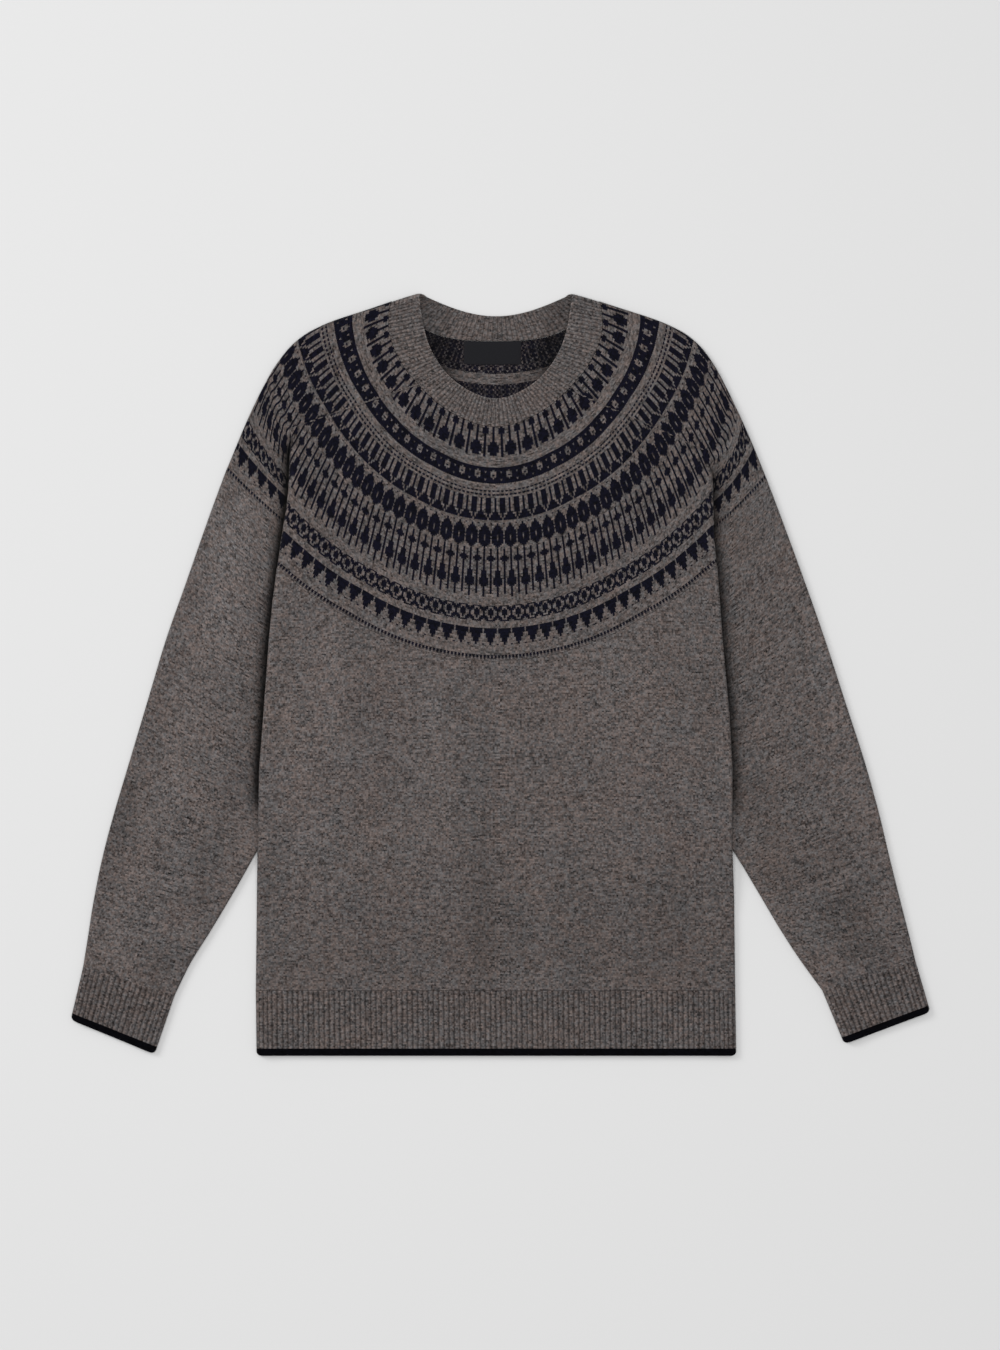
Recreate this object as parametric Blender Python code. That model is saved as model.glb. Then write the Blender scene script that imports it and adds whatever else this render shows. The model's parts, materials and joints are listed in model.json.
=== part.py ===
"""A knitted sweater with a patterned round yoke, laid flat on its back.

Units are metres. The floor is z = 0, +Y points to the neck and +Z up from the floor. Left and
right are the wearer's, so the right sleeve lies at -X. The cloth is a closed wall with an
inside and an outside. Front and back lie on each other, the sleeves pass under the sides of
the body, and the yoke's front has a pleat at each armhole where the sleeve turns under.
"""

import math
from collections import namedtuple

import bpy
import numpy as np

# Cloth
WALL = 0.0020
PLY_PITCH = 0.0028
SEAM_GAP = 0.0003
BACK_HEIGHT = WALL / 2
FRONT_HEIGHT = BACK_HEIGHT + PLY_PITCH
FOLD_ROOM = PLY_PITCH / 2 + WALL / 2
EDGE_PUFF = 0.0008
EDGE_PUFF_REACH = 0.020
SLEEVE_SHOWN_REACH = 0.020
SLEEVE_BOW_RINGS = 3
INSET_REACH = 6
SIDE_PARTING = 0.0006
CORNER_GAP = 0.0014

# Neckband, cuffs and hem
BAND_WALL = 0.0024
BAND_BACK_HEIGHT = BAND_WALL / 2
BAND_FRONT_HEIGHT = 0.0046
BAND_GAP = 0.0008
RIB_RAISE = 0.0006
HEM_RIBS = 92
CUFF_RIBS = 17
NECK_RIBS_FRONT = 60
NECK_RIBS_BACK = 34
HEM_TOP = -0.2912
HEM_TIPPING_TOP = -0.3447
HEM_BOTTOM = -0.3512
TIPPING_SHARE = 0.12

# Armhole pleat: how far the body's side is lifted by what lies under it
LIFT = 2 * PLY_PITCH
LIFT_SLOPE = 0.040
PLEAT_START = 0.023
PLEAT_UNDER = 0.84
PLEAT_SLEEVE = 0.69
PLEAT_FLAT_LENGTH = 0.012
PLEAT_ROOM_SHARE = 0.4

# Yoke rounds are measured by their drop below the yoke's middle at centre front
YOKE_MIDDLE = (-0.0042, 0.2904)
NECK_DROP = 0.0616
YOKE_DROP = 0.2743
NECK_RISE = 0.0006
NECK_RISE_REACH = 0.030
ROUND_DROPS = (
    NECK_DROP, 0.078, 0.096, 0.116, 0.138, 0.160,
    0.178, 0.189, 0.198, 0.207, 0.216, 0.228, 0.243, 0.258, YOKE_DROP,
)

# Neckband edges
NECK_POINT_Y = 0.3514
NECK_POINT_X = {-1: -0.0734, 1: 0.0660}
BACK_NECK_DIP = 0.0203
BACK_SEAM_DIP = 0.0356
BACK_SEAM_POWER = 3
CENTRE_BACK_DROP = 0.2124
NECK_ROW_SHARES = (1.0, 0.5, 0.0)
BAND_EDGE_THINNING = 0.4
BAND_EDGE_POWER = 4

# Label
LABEL_MIDDLE = (-0.0069, 0.2972)
LABEL_SIZE = (0.0526, 0.0212)
LABEL_WALL = 0.0010
LABEL_BASE = WALL + SEAM_GAP

# Sections along each panel
FOLD_STEPS = 2
SIDE_SHARE = 0.24
SIDE_COLUMNS = 9
MIDDLE_COLUMNS = 7
CAP_COLUMNS = 7
CURVE_POINTS = 60
BACK_ROUND_STEP = 2
PLAIN_COLUMNS = 12
LABEL_COLUMNS = 5
BODY_ROW_SHARES = (
    0.0, 0.06, 0.12, 0.18, 0.24, 0.3, 0.36, 0.42, 0.48, 0.54, 0.6, 0.68, 0.76, 0.87, 1.0,
)
BACK_MEETS_FRONT = 0.3

RoundShape = namedtuple("RoundShape", "angle near_neck at_edge")
ROUND_SHAPES = (
    RoundShape(0, 0.0, 0.0),
    RoundShape(15, 0.0, -0.0014),
    RoundShape(30, 0.0, -0.0042),
    RoundShape(45, 0.0028, -0.0005),
    RoundShape(60, 0.0069, 0.0065),
    RoundShape(75, 0.0143, 0.0143),
    RoundShape(90, 0.0259, 0.0259),
    RoundShape(105, 0.0388, 0.0388),
    RoundShape(120, 0.0475, 0.0475),
)

BandEdge = namedtuple("BandEdge", "angle radius")
NECK_OPENING = (
    BandEdge(0, 0.0351),
    BandEdge(30, 0.0355),
    BandEdge(45, 0.0374),
    BandEdge(60, 0.0406),
    BandEdge(75, 0.0462),
    BandEdge(90, 0.0531),
    BandEdge(105, 0.0637),
    BandEdge(120, 0.0776),
    BandEdge(131, 0.0928),
)

YokeOutline = namedtuple("YokeOutline", "drop right_x right_y left_x left_y")
YOKE_OUTLINE = (
    YokeOutline(NECK_DROP, -0.1011, 0.3435, 0.0928, 0.3435),
    YokeOutline(0.0877, -0.1196, 0.3375, 0.1122, 0.3375),
    YokeOutline(0.0997, -0.1385, 0.3311, 0.1325, 0.3311),
    YokeOutline(0.1145, -0.1538, 0.3265, 0.1464, 0.3265),
    YokeOutline(0.1256, -0.1658, 0.3218, 0.1600, 0.3209),
    YokeOutline(0.1478, -0.1875, 0.3098, 0.1792, 0.3098),
    YokeOutline(0.1755, -0.2055, 0.2886, 0.1967, 0.2886),
    YokeOutline(0.1986, -0.2175, 0.2683, 0.2073, 0.2683),
    YokeOutline(0.2189, -0.2286, 0.2452, 0.2193, 0.2443),
    YokeOutline(0.2336, -0.2360, 0.2286, 0.2272, 0.2267),
    YokeOutline(0.2549, -0.2448, 0.2064, 0.2378, 0.2009),
    YokeOutline(YOKE_DROP, -0.2529, 0.1870, 0.2461, 0.1796),
)

BodySide = namedtuple("BodySide", "y right_x left_x")
BODY_SIDES = (
    BodySide(0.2258, -0.1916, 0.1916),
    BodySide(0.1980, -0.1926, 0.1940),
    BodySide(0.1704, -0.1938, 0.1953),
    BodySide(0.1519, -0.1962, 0.1958),
    BodySide(0.1242, -0.2009, 0.1967),
    BodySide(0.1011, -0.2041, 0.1990),
    BodySide(0.0688, -0.2092, 0.2018),
    BodySide(0.0319, -0.2129, 0.2046),
    BodySide(-0.0356, -0.2175, 0.2110),
    BodySide(-0.0854, -0.2214, 0.2138),
    BodySide(-0.1621, -0.2230, 0.2138),
    BodySide(-0.2083, -0.2239, 0.2156),
    BodySide(-0.2914, -0.2249, 0.2166),
    BodySide(HEM_BOTTOM, -0.2242, 0.2175),
)

PLEAT_TOP = {-1: (-0.1916, 0.2258), 1: (0.1935, 0.2027)}

SleeveRing = namedtuple("SleeveRing", "outer_x outer_y inner_x inner_y")
SLEEVE_RINGS = {
    -1: (
        SleeveRing(-0.2529, 0.1870, -0.1741, 0.1196),
        SleeveRing(-0.2692, 0.1427, -0.1639, 0.0596),
        SleeveRing(-0.2895, 0.0845, -0.1547, 0.0023),
        SleeveRing(-0.3080, 0.0319, -0.1612, -0.0457),
        SleeveRing(-0.3246, -0.0235, -0.1870, -0.0937),
        SleeveRing(-0.3412, -0.0790, -0.2101, -0.1381),
        SleeveRing(-0.3555, -0.1270, -0.2304, -0.1732),
        SleeveRing(-0.3662, -0.1676, -0.2480, -0.2036),
        SleeveRing(-0.3745, -0.2082, -0.2674, -0.2360),
        SleeveRing(-0.3796, -0.2406, -0.2858, -0.2655),
        SleeveRing(-0.3842, -0.2692, -0.3006, -0.2955),
    ),
    1: (
        SleeveRing(0.2461, 0.1796, 0.1768, 0.1187),
        SleeveRing(0.2600, 0.1427, 0.1667, 0.0596),
        SleeveRing(0.2803, 0.0873, 0.1556, 0.0023),
        SleeveRing(0.2997, 0.0319, 0.1501, -0.0513),
        SleeveRing(0.3177, -0.0235, 0.1759, -0.0956),
        SleeveRing(0.3357, -0.0790, 0.2009, -0.1399),
        SleeveRing(0.3491, -0.1270, 0.2239, -0.1759),
        SleeveRing(0.3588, -0.1676, 0.2406, -0.2036),
        SleeveRing(0.3689, -0.2082, 0.2581, -0.2332),
        SleeveRing(0.3772, -0.2406, 0.2766, -0.2618),
        SleeveRing(0.3828, -0.2636, 0.2978, -0.2909),
    ),
}
CUFF_ENDS = {
    -1: SleeveRing(-0.3957, -0.3181, -0.3191, -0.3496),
    1: SleeveRing(0.3966, -0.3108, 0.3181, -0.3403),
}

Finish = namedtuple("Finish", "colour roughness")
TAUPE = Finish((0.108, 0.092, 0.088), 0.95)
YOKE_CLOTH = Finish((0.060, 0.052, 0.053), 0.95)
RIBBING = Finish((0.092, 0.078, 0.076), 0.95)
NAVY = Finish((0.004, 0.004, 0.006), 0.95)
LABEL_CLOTH = Finish((0.006, 0.006, 0.009), 0.6)

Section = namedtuple("Section", "points neckward")


def smooth(share):
    """An S-shaped rise from 0 to 1 as share goes from 0 to 1."""
    held = np.clip(share, 0.0, 1.0)
    return held * held * (3 - 2 * held)


def unit(vector):
    return vector / np.linalg.norm(vector)


def read_table(table, key, value, at):
    """The column value of a table, read between its rows at a place in the column key."""
    keys = np.array([getattr(row, key) for row in table])
    values = np.array([getattr(row, value) for row in table])
    order = np.argsort(keys)
    return np.interp(at, keys[order], values[order])


def side_name(side):
    return "right" if side < 0 else "left"


def body_side(side, y):
    return read_table(BODY_SIDES, "y", side_name(side) + "_x", y)


def sleeve_inner_x(side, y):
    """Where a sleeve's inner edge, or the hidden end of the pleat above it, lies under the body."""
    corners = [PLEAT_TOP[side]] + [(ring.inner_x, ring.inner_y) for ring in SLEEVE_RINGS[side]]
    corners = np.array(corners[::-1])
    return np.interp(y, corners[:, 1], corners[:, 0])


def pleat_depth(side, y):
    """How far the pleat has opened at a height, from 0 at its top to 1."""
    return smooth((PLEAT_TOP[side][1] - y) / PLEAT_START)


def body_lift(plan):
    """How far the body is lifted by the sleeves and pleats under its sides."""
    lift = np.zeros(len(plan))
    for side in (-1, 1):
        inward = -side * (plan[:, 0] - sleeve_inner_x(side, plan[:, 1]))
        lift += LIFT * pleat_depth(side, plan[:, 1]) * (1 - smooth(inward / LIFT_SLOPE))
    return lift


def edge_puff(plan):
    """The cloth stands a little higher beside its two end folds."""
    steps = np.linalg.norm(np.diff(plan, axis=0), axis=1)
    along = np.concatenate([[0.0], np.cumsum(steps)])
    nearest = np.minimum(along, along[-1] - along)
    return EDGE_PUFF * (1 - smooth(nearest / EDGE_PUFF_REACH))


def raised(plan, heights):
    return np.column_stack([plan, np.broadcast_to(heights, len(plan))])


def round_radius(drop, angle):
    """A yoke round's distance from the yoke's middle, at an angle in degrees from centre front."""
    share = (drop / YOKE_DROP) ** 2
    near_neck = read_table(ROUND_SHAPES, "angle", "near_neck", np.abs(angle))
    at_edge = read_table(ROUND_SHAPES, "angle", "at_edge", np.abs(angle))
    return drop + near_neck * (1 - share) + at_edge * share


def from_polar(radius, angle):
    turn = np.radians(angle)
    return np.column_stack([
        YOKE_MIDDLE[0] + radius * np.sin(turn),
        YOKE_MIDDLE[1] - radius * np.cos(turn),
    ])


def to_polar(point):
    across, down = point[0] - YOKE_MIDDLE[0], YOKE_MIDDLE[1] - point[1]
    return math.hypot(across, down), math.degrees(math.atan2(across, down))


def outline_point(side, drop):
    name = side_name(side)
    return np.array([
        read_table(YOKE_OUTLINE, "drop", name + "_x", drop),
        read_table(YOKE_OUTLINE, "drop", name + "_y", drop),
    ])


def crossing_angle(side, drop):
    """The angle where a round meets the body's side edge, or the pleat's top for a round above it."""
    pleat_angle = to_polar(PLEAT_TOP[side])[1]
    above, below = abs(pleat_angle), 20.0
    for _ in range(40):
        middle = (above + below) / 2
        x, y = from_polar(round_radius(drop, middle), np.array([side * middle]))[0]
        outside = side * (x - body_side(side, y)) > 0
        above, below = (middle, below) if outside else (above, middle)
    return side * (above + below) / 2


def curve_through(start, middle, end, count):
    """Points on the parabola through three plan points."""
    first, second = np.linalg.norm(middle - start), np.linalg.norm(end - middle)
    knot = first / (first + second)
    at = np.linspace(0, 1, count)[:, None]
    return (
        start * (at - knot) * (at - 1) / knot
        + middle * at * (at - 1) / (knot * (knot - 1))
        + end * at * (at - knot) / (1 - knot)
    )


def neckward_of(plan):
    """At each plan point of a path that runs to +X, the plan direction square to it, to the neck."""
    along = np.gradient(plan, axis=0)
    across = np.column_stack([-along[:, 1], along[:, 0]])
    return across / np.linalg.norm(across, axis=1, keepdims=True)


def fold_points(start, end, outward):
    """The points between two ends of cloth that a half circle joins, bulging outward."""
    centre, reach = (start + end) / 2, (start - end) / 2
    bulge = np.append(outward, 0.0) * np.linalg.norm(reach)
    turns = np.radians(np.linspace(90, -90, 2 * FOLD_STEPS + 1)[1:-1])
    return np.array([centre + reach * math.sin(turn) + bulge * math.cos(turn) for turn in turns])


def inset(plan, ends, amount):
    """The path with its named ends drawn in along itself, to leave room for a fold."""
    steps = np.linalg.norm(np.diff(plan, axis=0), axis=1)
    along = np.concatenate([[0.0], np.cumsum(steps)])
    reach = min(INSET_REACH * amount, along[-1] / 2)
    drawn = along.copy()
    if 0 in ends:
        drawn += amount * np.clip(1 - along / reach, 0, 1)
    if -1 in ends:
        drawn -= amount * np.clip(1 - (along[-1] - along) / reach, 0, 1)
    return np.column_stack([np.interp(drawn, along, plan[:, axis]) for axis in (0, 1)])


def loop_of(front, back, wall=WALL, outward=None):
    """One round of flat-laid cloth: front runs to +X, back returns, and a half fold joins each side.

    The folds bulge along the front's ends, or along outward at +X and against it at -X. Gives
    the outer and inner points, and the places of the two side folds' middle points.
    """
    front_neckward = neckward_of(front.points[:, :2]) if front.neckward is None else front.neckward
    back_neckward = neckward_of(back.points[::-1, :2])[::-1]
    if outward is None:
        first_outward = unit(front.points[-1, :2] - front.points[-2, :2])
        second_outward = unit(front.points[0, :2] - front.points[1, :2])
    else:
        first_outward, second_outward = outward, -outward
    first_fold = fold_points(front.points[-1], back.points[0], first_outward)
    second_fold = fold_points(back.points[-1], front.points[0], second_outward)
    points = np.vstack([front.points, first_fold, back.points, second_fold])
    neckward = np.vstack([
        front_neckward,
        np.repeat(front_neckward[-1:], len(first_fold), axis=0),
        back_neckward,
        np.repeat(front_neckward[:1], len(second_fold), axis=0),
    ])
    tangents = np.roll(points, -1, axis=0) - np.roll(points, 1, axis=0)
    normals = np.cross(tangents, np.column_stack([neckward, np.zeros(len(points))]))
    normals /= np.linalg.norm(normals, axis=1, keepdims=True)
    middle = FOLD_STEPS - 1
    first_middle = len(front.points) + middle
    second_middle = len(front.points) + len(first_fold) + len(back.points) + middle
    outer, inner = points + normals * wall / 2, points - normals * wall / 2
    return outer, inner, (first_middle, second_middle)


def half_of(loop, front):
    """The upper and lower points of a loop's front or back half, parted a little at its folds."""
    outer, inner, (first, second) = loop
    if front:
        order = np.concatenate([np.arange(second, len(outer)), np.arange(0, first + 1)])
        shift = SIDE_PARTING / 2
        upper, lower = outer[order], inner[order]
    else:
        order = np.arange(second, first - 1, -1)
        shift = -SIDE_PARTING / 2
        upper, lower = inner[order], outer[order]
    for points in (upper, lower):
        points[[0, -1], 2] += shift
    return upper, lower


def material_of(name, finish):
    material = bpy.data.materials.new(name)
    material.use_nodes = True
    shader = material.node_tree.nodes["Principled BSDF"]
    shader.inputs["Base Color"].default_value = (*finish.colour, 1.0)
    shader.inputs["Roughness"].default_value = finish.roughness
    shader.inputs["Metallic"].default_value = 0.0
    return material


def make_wall(name, finish, rows, closed):
    """A closed solid from rows of outer and inner points; closed joins each row's two ends."""
    outer = np.array([row[0] for row in rows])
    inner = np.array([row[1] for row in rows])
    count, width = outer.shape[:2]
    points = np.concatenate([outer.reshape(-1, 3), inner.reshape(-1, 3)])
    below = count * width
    last = width if closed else width - 1
    faces = []
    for i in range(count - 1):
        for j in range(last):
            k = (j + 1) % width
            a, b, c, d = i * width + j, i * width + k, (i + 1) * width + k, (i + 1) * width + j
            faces.append((a, d, c, b))
            faces.append((below + a, below + b, below + c, below + d))
    for j in range(last):
        k = (j + 1) % width
        bottom = (count - 1) * width
        faces.append((j, k, below + k, below + j))
        faces.append((bottom + j, below + bottom + j, below + bottom + k, bottom + k))
    if not closed:
        for i in range(count - 1):
            a, d = i * width, (i + 1) * width
            faces.append((a, below + a, below + d, d))
            a, d = a + width - 1, d + width - 1
            faces.append((a, d, below + d, below + a))
    mesh = bpy.data.meshes.new(name)
    mesh.from_pydata(points.tolist(), [], faces)
    mesh.materials.append(material_of(name + "_finish", finish))
    mesh.shade_smooth()
    mesh.set_sharp_from_angle(angle=math.radians(50))
    made = bpy.data.objects.new(name, mesh)
    bpy.context.scene.collection.objects.link(made)
    return made


def column_shares():
    """Places across the body from 0 to 1, closer together at its sides, where it is lifted."""
    side = np.linspace(0, SIDE_SHARE, SIDE_COLUMNS + 1)
    middle = np.linspace(SIDE_SHARE, 1 - SIDE_SHARE, MIDDLE_COLUMNS + 1)
    return np.concatenate([side[:-1], middle, 1 - side[-2::-1]])


def round_plan(drop, angles):
    """The plan of a round, brought out to the shoulder's outline past the body's edge."""
    radius = round_radius(drop, angles)
    for side in (-1, 1):
        outline_radius, outline_angle = to_polar(outline_point(side, drop))
        edge_angle = crossing_angle(side, drop)
        share = np.clip((angles - edge_angle) / (outline_angle - edge_angle), 0, 1)
        radius = radius + (outline_radius - round_radius(drop, outline_angle)) * share
    return from_polar(radius, angles)


def sleeve_cap(side, drop, count):
    """A round's plan points over the sleeve, from the shoulder's outline to the pleat's hidden end.

    Gives them with the point on the body's edge, the hidden end and how far the pleat has opened.
    """
    angle = crossing_angle(side, drop)
    outline = outline_point(side, drop)
    flat = round_plan(drop, np.linspace(to_polar(outline)[1], angle, count))
    edge = flat[-1]
    top = np.array(PLEAT_TOP[side])
    down = top[1] - edge[1]
    if down <= 0:
        return flat, edge, edge, 0.0
    y_under = top[1] - PLEAT_SLEEVE * down
    under = np.array([body_side(side, y_under), y_under])
    y_hidden = top[1] - PLEAT_UNDER * down
    hidden = np.array([sleeve_inner_x(side, y_hidden), y_hidden])
    folded = curve_through(outline, under, hidden, count)
    opened = float(pleat_depth(side, edge[1]))
    return flat + (folded - flat) * opened, edge, hidden, opened


def pleat_points(side, cap, edge, hidden, opened, drop):
    """One round through a pleat, from the hidden end over the sleeve to the body's edge."""
    radius, angle = to_polar(edge)
    reach = math.degrees(PLEAT_FLAT_LENGTH / 2 / radius)
    angles = angle + side * np.linspace(reach, -reach, 4 * FOLD_STEPS + 3)
    flat = raised(round_plan(drop, angles), FRONT_HEIGHT)
    if opened == 0.0:
        return flat
    outward = np.array([side, 0.0])
    under_height = FRONT_HEIGHT + PLY_PITCH
    across = edge - hidden
    under_room = unit(across) * min(FOLD_ROOM, PLEAT_ROOM_SHARE * np.linalg.norm(across))
    sleeve_end = np.append(hidden + unit(cap[-2] - cap[-1]) * FOLD_ROOM, FRONT_HEIGHT)
    under_start = np.append(hidden + under_room, under_height)
    under_end = np.append(edge - under_room, under_height)
    along = round_plan(drop, np.array([angle - side]))[0] - edge
    body_start = np.append(edge + unit(along) * FOLD_ROOM, under_height + PLY_PITCH)
    folded = np.vstack([
        sleeve_end,
        fold_points(under_start, sleeve_end, -outward)[::-1],
        under_start,
        (under_start + under_end) / 2,
        under_end,
        fold_points(body_start, under_end, outward)[::-1],
        body_start,
    ])
    return flat + (folded - flat) * opened


def neck_rise(drop):
    return NECK_RISE * (1 - smooth((drop - NECK_DROP) / NECK_RISE_REACH))


def front_round(drop):
    """One round of the yoke's front, from the right shoulder's fold to the left one's."""
    points, neckward, body_angles, openings = {}, {}, {}, {}
    for side in (-1, 1):
        cap, edge, hidden, opened = sleeve_cap(side, drop, CAP_COLUMNS + 1)
        pleat = pleat_points(side, cap, edge, hidden, opened, drop)
        cap_neckward = neckward_of(cap[::-side])[::-side][:-1]
        cap = raised(inset(cap, (0,), FOLD_ROOM), FRONT_HEIGHT)[:-1]
        cap[:, 2] += edge_puff(np.vstack([cap[:, :2], edge]))[:-1]
        points[side] = np.vstack([cap, pleat])[::-side]
        neckward[side] = np.vstack([
            cap_neckward,
            np.repeat(cap_neckward[-1:], len(pleat), axis=0),
        ])[::-side]
        body_angles[side] = to_polar(pleat[-1, :2])[1]
        openings[side] = opened
    shares = column_shares()
    angles = body_angles[-1] + (body_angles[1] - body_angles[-1]) * shares[1:-1]
    middle = round_plan(drop, angles)
    middle = raised(middle, FRONT_HEIGHT + body_lift(middle))
    turn = np.radians(angles)
    middle_neckward = np.column_stack([-np.sin(turn), np.cos(turn)])
    joined = np.vstack([points[-1], middle, points[1]])
    body = slice(len(points[-1]) - 1, len(joined) - len(points[1]) + 1)
    open_share = openings[-1] + (openings[1] - openings[-1]) * shares
    joined[body, 2] += edge_puff(joined[body, :2]) * open_share
    joined[:, 2] += neck_rise(drop)
    return Section(joined, np.vstack([neckward[-1], middle_neckward, neckward[1]]))


def front_top_plan():
    """The plan of the body's upper edge in front, the seam's gap below the yoke."""
    shares = column_shares()
    first, last = crossing_angle(-1, YOKE_DROP), crossing_angle(1, YOKE_DROP)
    angles = first + (last - first) * shares
    return from_polar(round_radius(YOKE_DROP, angles) + SEAM_GAP, angles)


def back_edge_plan():
    """The plan of the yoke's lower edge on the back, from the right outline to the left one.

    Between the two pleats its columns are those of the body.
    """
    caps = {side: sleeve_cap(side, YOKE_DROP, CAP_COLUMNS + 1)[0] for side in (-1, 1)}
    start, end = caps[-1][-1], caps[1][-1]
    centre_back = np.array([YOKE_MIDDLE[0], YOKE_MIDDLE[1] - CENTRE_BACK_DROP])
    curve = curve_through(start, centre_back, end, CURVE_POINTS)
    columns = front_top_plan()[:, 0]
    columns = columns[(columns > start[0]) & (columns < end[0])]
    centre = np.column_stack([columns, np.interp(columns, curve[:, 0], curve[:, 1])])
    return np.vstack([caps[-1], centre, caps[1][::-1]])


def back_seam_plan(shares):
    """The plan of the back neck seam, from the right outline to the left one."""
    right, left = outline_point(-1, NECK_DROP), outline_point(1, NECK_DROP)
    dip = BACK_SEAM_DIP * (1 - np.abs(2 * shares - 1) ** BACK_SEAM_POWER)
    return right + (left - right) * shares[:, None] - dip[:, None] * (0, 1)


def back_round(drop):
    """One round of the yoke's back, read between its neck seam, its lower edge and the outline."""
    low = back_edge_plan()
    steps = np.linalg.norm(np.diff(low, axis=0), axis=1)
    shares = np.concatenate([[0.0], np.cumsum(steps) / steps.sum()])
    depth = (drop - NECK_DROP) / (YOKE_DROP - NECK_DROP)
    plan = back_seam_plan(shares) * (1 - depth) + low * depth
    right_move = outline_point(-1, drop) - plan[0]
    left_move = outline_point(1, drop) - plan[-1]
    plan += (1 - shares)[:, None] * right_move + shares[:, None] * left_move
    return Section(raised(inset(plan, (0, -1), FOLD_ROOM), BACK_HEIGHT)[::-1], None)


def make_yoke():
    rows = [loop_of(front_round(drop), back_round(drop)) for drop in ROUND_DROPS]
    make_wall("yoke_front", YOKE_CLOTH, [half_of(row, True) for row in rows], False)
    make_wall("yoke_back", YOKE_CLOTH, [half_of(row, False) for row in rows[::BACK_ROUND_STEP]], False)


def back_top_plan(columns_x):
    """The plan of the body's upper edge on the back, over the sleeves and below the yoke."""
    edge = back_edge_plan()[CAP_COLUMNS:-CAP_COLUMNS]
    ends = [sleeve_cap(side, YOKE_DROP, 2)[1] for side in (-1, 1)]
    edge = np.vstack([ends[0], edge, ends[1]])
    gaps = np.full((len(edge), 1), SEAM_GAP)
    gaps[[0, -1]] += CORNER_GAP
    edge = edge - neckward_of(edge) * gaps
    return np.column_stack([columns_x, np.interp(columns_x, edge[:, 0], edge[:, 1])])


def body_plan(top, share):
    """The plan of a section across the body, part of the way from its upper edge to the hem."""
    ys = top[:, 1] + (HEM_TOP + SEAM_GAP - top[:, 1]) * share
    right, left = body_side(-1, ys[0]), body_side(1, ys[-1])
    across = (top[:, 0] - top[0, 0]) / (top[-1, 0] - top[0, 0])
    return np.column_stack([right + (left - right) * across, ys])


def make_body():
    front_top = front_top_plan()
    back_top = back_top_plan(front_top[:, 0])
    loops = []
    joined = body_plan(front_top, BACK_MEETS_FRONT)
    for share in BODY_ROW_SHARES:
        front = inset(body_plan(front_top, share), (0, -1), FOLD_ROOM)
        depth = min(share / BACK_MEETS_FRONT, 1.0)
        back = back_top + (joined - back_top) * depth
        if depth == 1.0:
            back = body_plan(front_top, share)
        back = inset(back, (0, -1), FOLD_ROOM)
        front = raised(front, FRONT_HEIGHT + body_lift(front) + edge_puff(front))
        back = raised(back, BACK_HEIGHT + body_lift(back))
        outward = np.array([1.0, 0.0])
        loops.append(loop_of(Section(front, None), Section(back[::-1], None), WALL, outward))
    make_wall("body_front", TAUPE, [half_of(loop, True) for loop in loops], False)
    make_wall("body_back", TAUPE, [half_of(loop, False) for loop in loops], False)


def sleeve_ring(side, index, bow):
    """One section round a sleeve; bow carries the curve of the yoke's edge on from the cap."""
    ring = SLEEVE_RINGS[side][index]
    outer = np.array([ring.outer_x, ring.outer_y])
    hidden = np.array([ring.inner_x, ring.inner_y])
    shares = np.linspace(0, 1, CAP_COLUMNS + 1)[:, None]
    cap = sleeve_cap(side, YOKE_DROP, CAP_COLUMNS + 1)[0]
    bend = cap - (cap[0] + (cap[-1] - cap[0]) * shares)
    plan = (outer + (hidden - outer) * shares + bend * bow)[::-side]
    if index == 0:
        plan = plan - neckward_of(plan) * SEAM_GAP
    if index == len(SLEEVE_RINGS[side]) - 1:
        plan = plan + neckward_of(plan) * SEAM_GAP
    shown = smooth((abs(ring.inner_x) - abs(body_side(side, ring.inner_y))) / SLEEVE_SHOWN_REACH)
    plan = inset(plan, (0, -1), FOLD_ROOM)
    puff = edge_puff(plan)
    puff *= np.linspace(1, shown, len(plan))[::-side]
    front = raised(plan, FRONT_HEIGHT + puff)
    back = raised(plan[::-1], BACK_HEIGHT)
    return loop_of(Section(front, None), Section(back, None))


def make_sleeves():
    for side in (-1, 1):
        count = len(SLEEVE_RINGS[side])
        rings = [
            sleeve_ring(side, index, max(0.0, 1 - index / SLEEVE_BOW_RINGS))
            for index in range(count)
        ]
        rows = [(outer, inner) for outer, inner, _ in rings]
        make_wall("sleeve_" + side_name(side), TAUPE, rows, True)


def band_tube(name, finish, start, end, ribs):
    """A flattened tube between two plan lines, ribbed on its upper side and plain on the floor."""
    rows = []
    for line in (start, end):
        right, left = np.array(line)
        front_shares = np.linspace(0, 1, 2 * ribs + 1) if ribs else np.linspace(0, 1, PLAIN_COLUMNS)
        back_shares = np.linspace(1, 0, PLAIN_COLUMNS)
        halves = [right + (left - right) * shares[:, None] for shares in (front_shares, back_shares)]
        front, back = (inset(plan, (0, -1), FOLD_ROOM) for plan in halves)
        loop = loop_of(
            Section(raised(front, FRONT_HEIGHT + edge_puff(front)), None),
            Section(raised(back, BACK_HEIGHT), None),
        )
        outer, inner, _ = loop
        outer[1:2 * ribs:2, 2] += RIB_RAISE
        rows.append((outer, inner))
    make_wall(name, finish, rows, True)


def shifted(line, towards, amount):
    """A plan line moved by an amount in the direction of another line."""
    line, towards = np.array(line), np.array(towards)
    return line + unit(towards.mean(axis=0) - line.mean(axis=0)) * amount


def make_cuffs():
    for side in (-1, 1):
        lines = []
        for ring in (SLEEVE_RINGS[side][-1], CUFF_ENDS[side]):
            ends = ((ring.outer_x, ring.outer_y), (ring.inner_x, ring.inner_y))
            lines.append(ends[::-side])
        start, end = lines
        split = np.array(start) * TIPPING_SHARE + np.array(end) * (1 - TIPPING_SHARE)
        name = side_name(side)
        band_tube("cuff_" + name, RIBBING, start, shifted(split, start, SEAM_GAP), CUFF_RIBS)
        band_tube("cuff_tipping_" + name, NAVY, split, end, 0)


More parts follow.
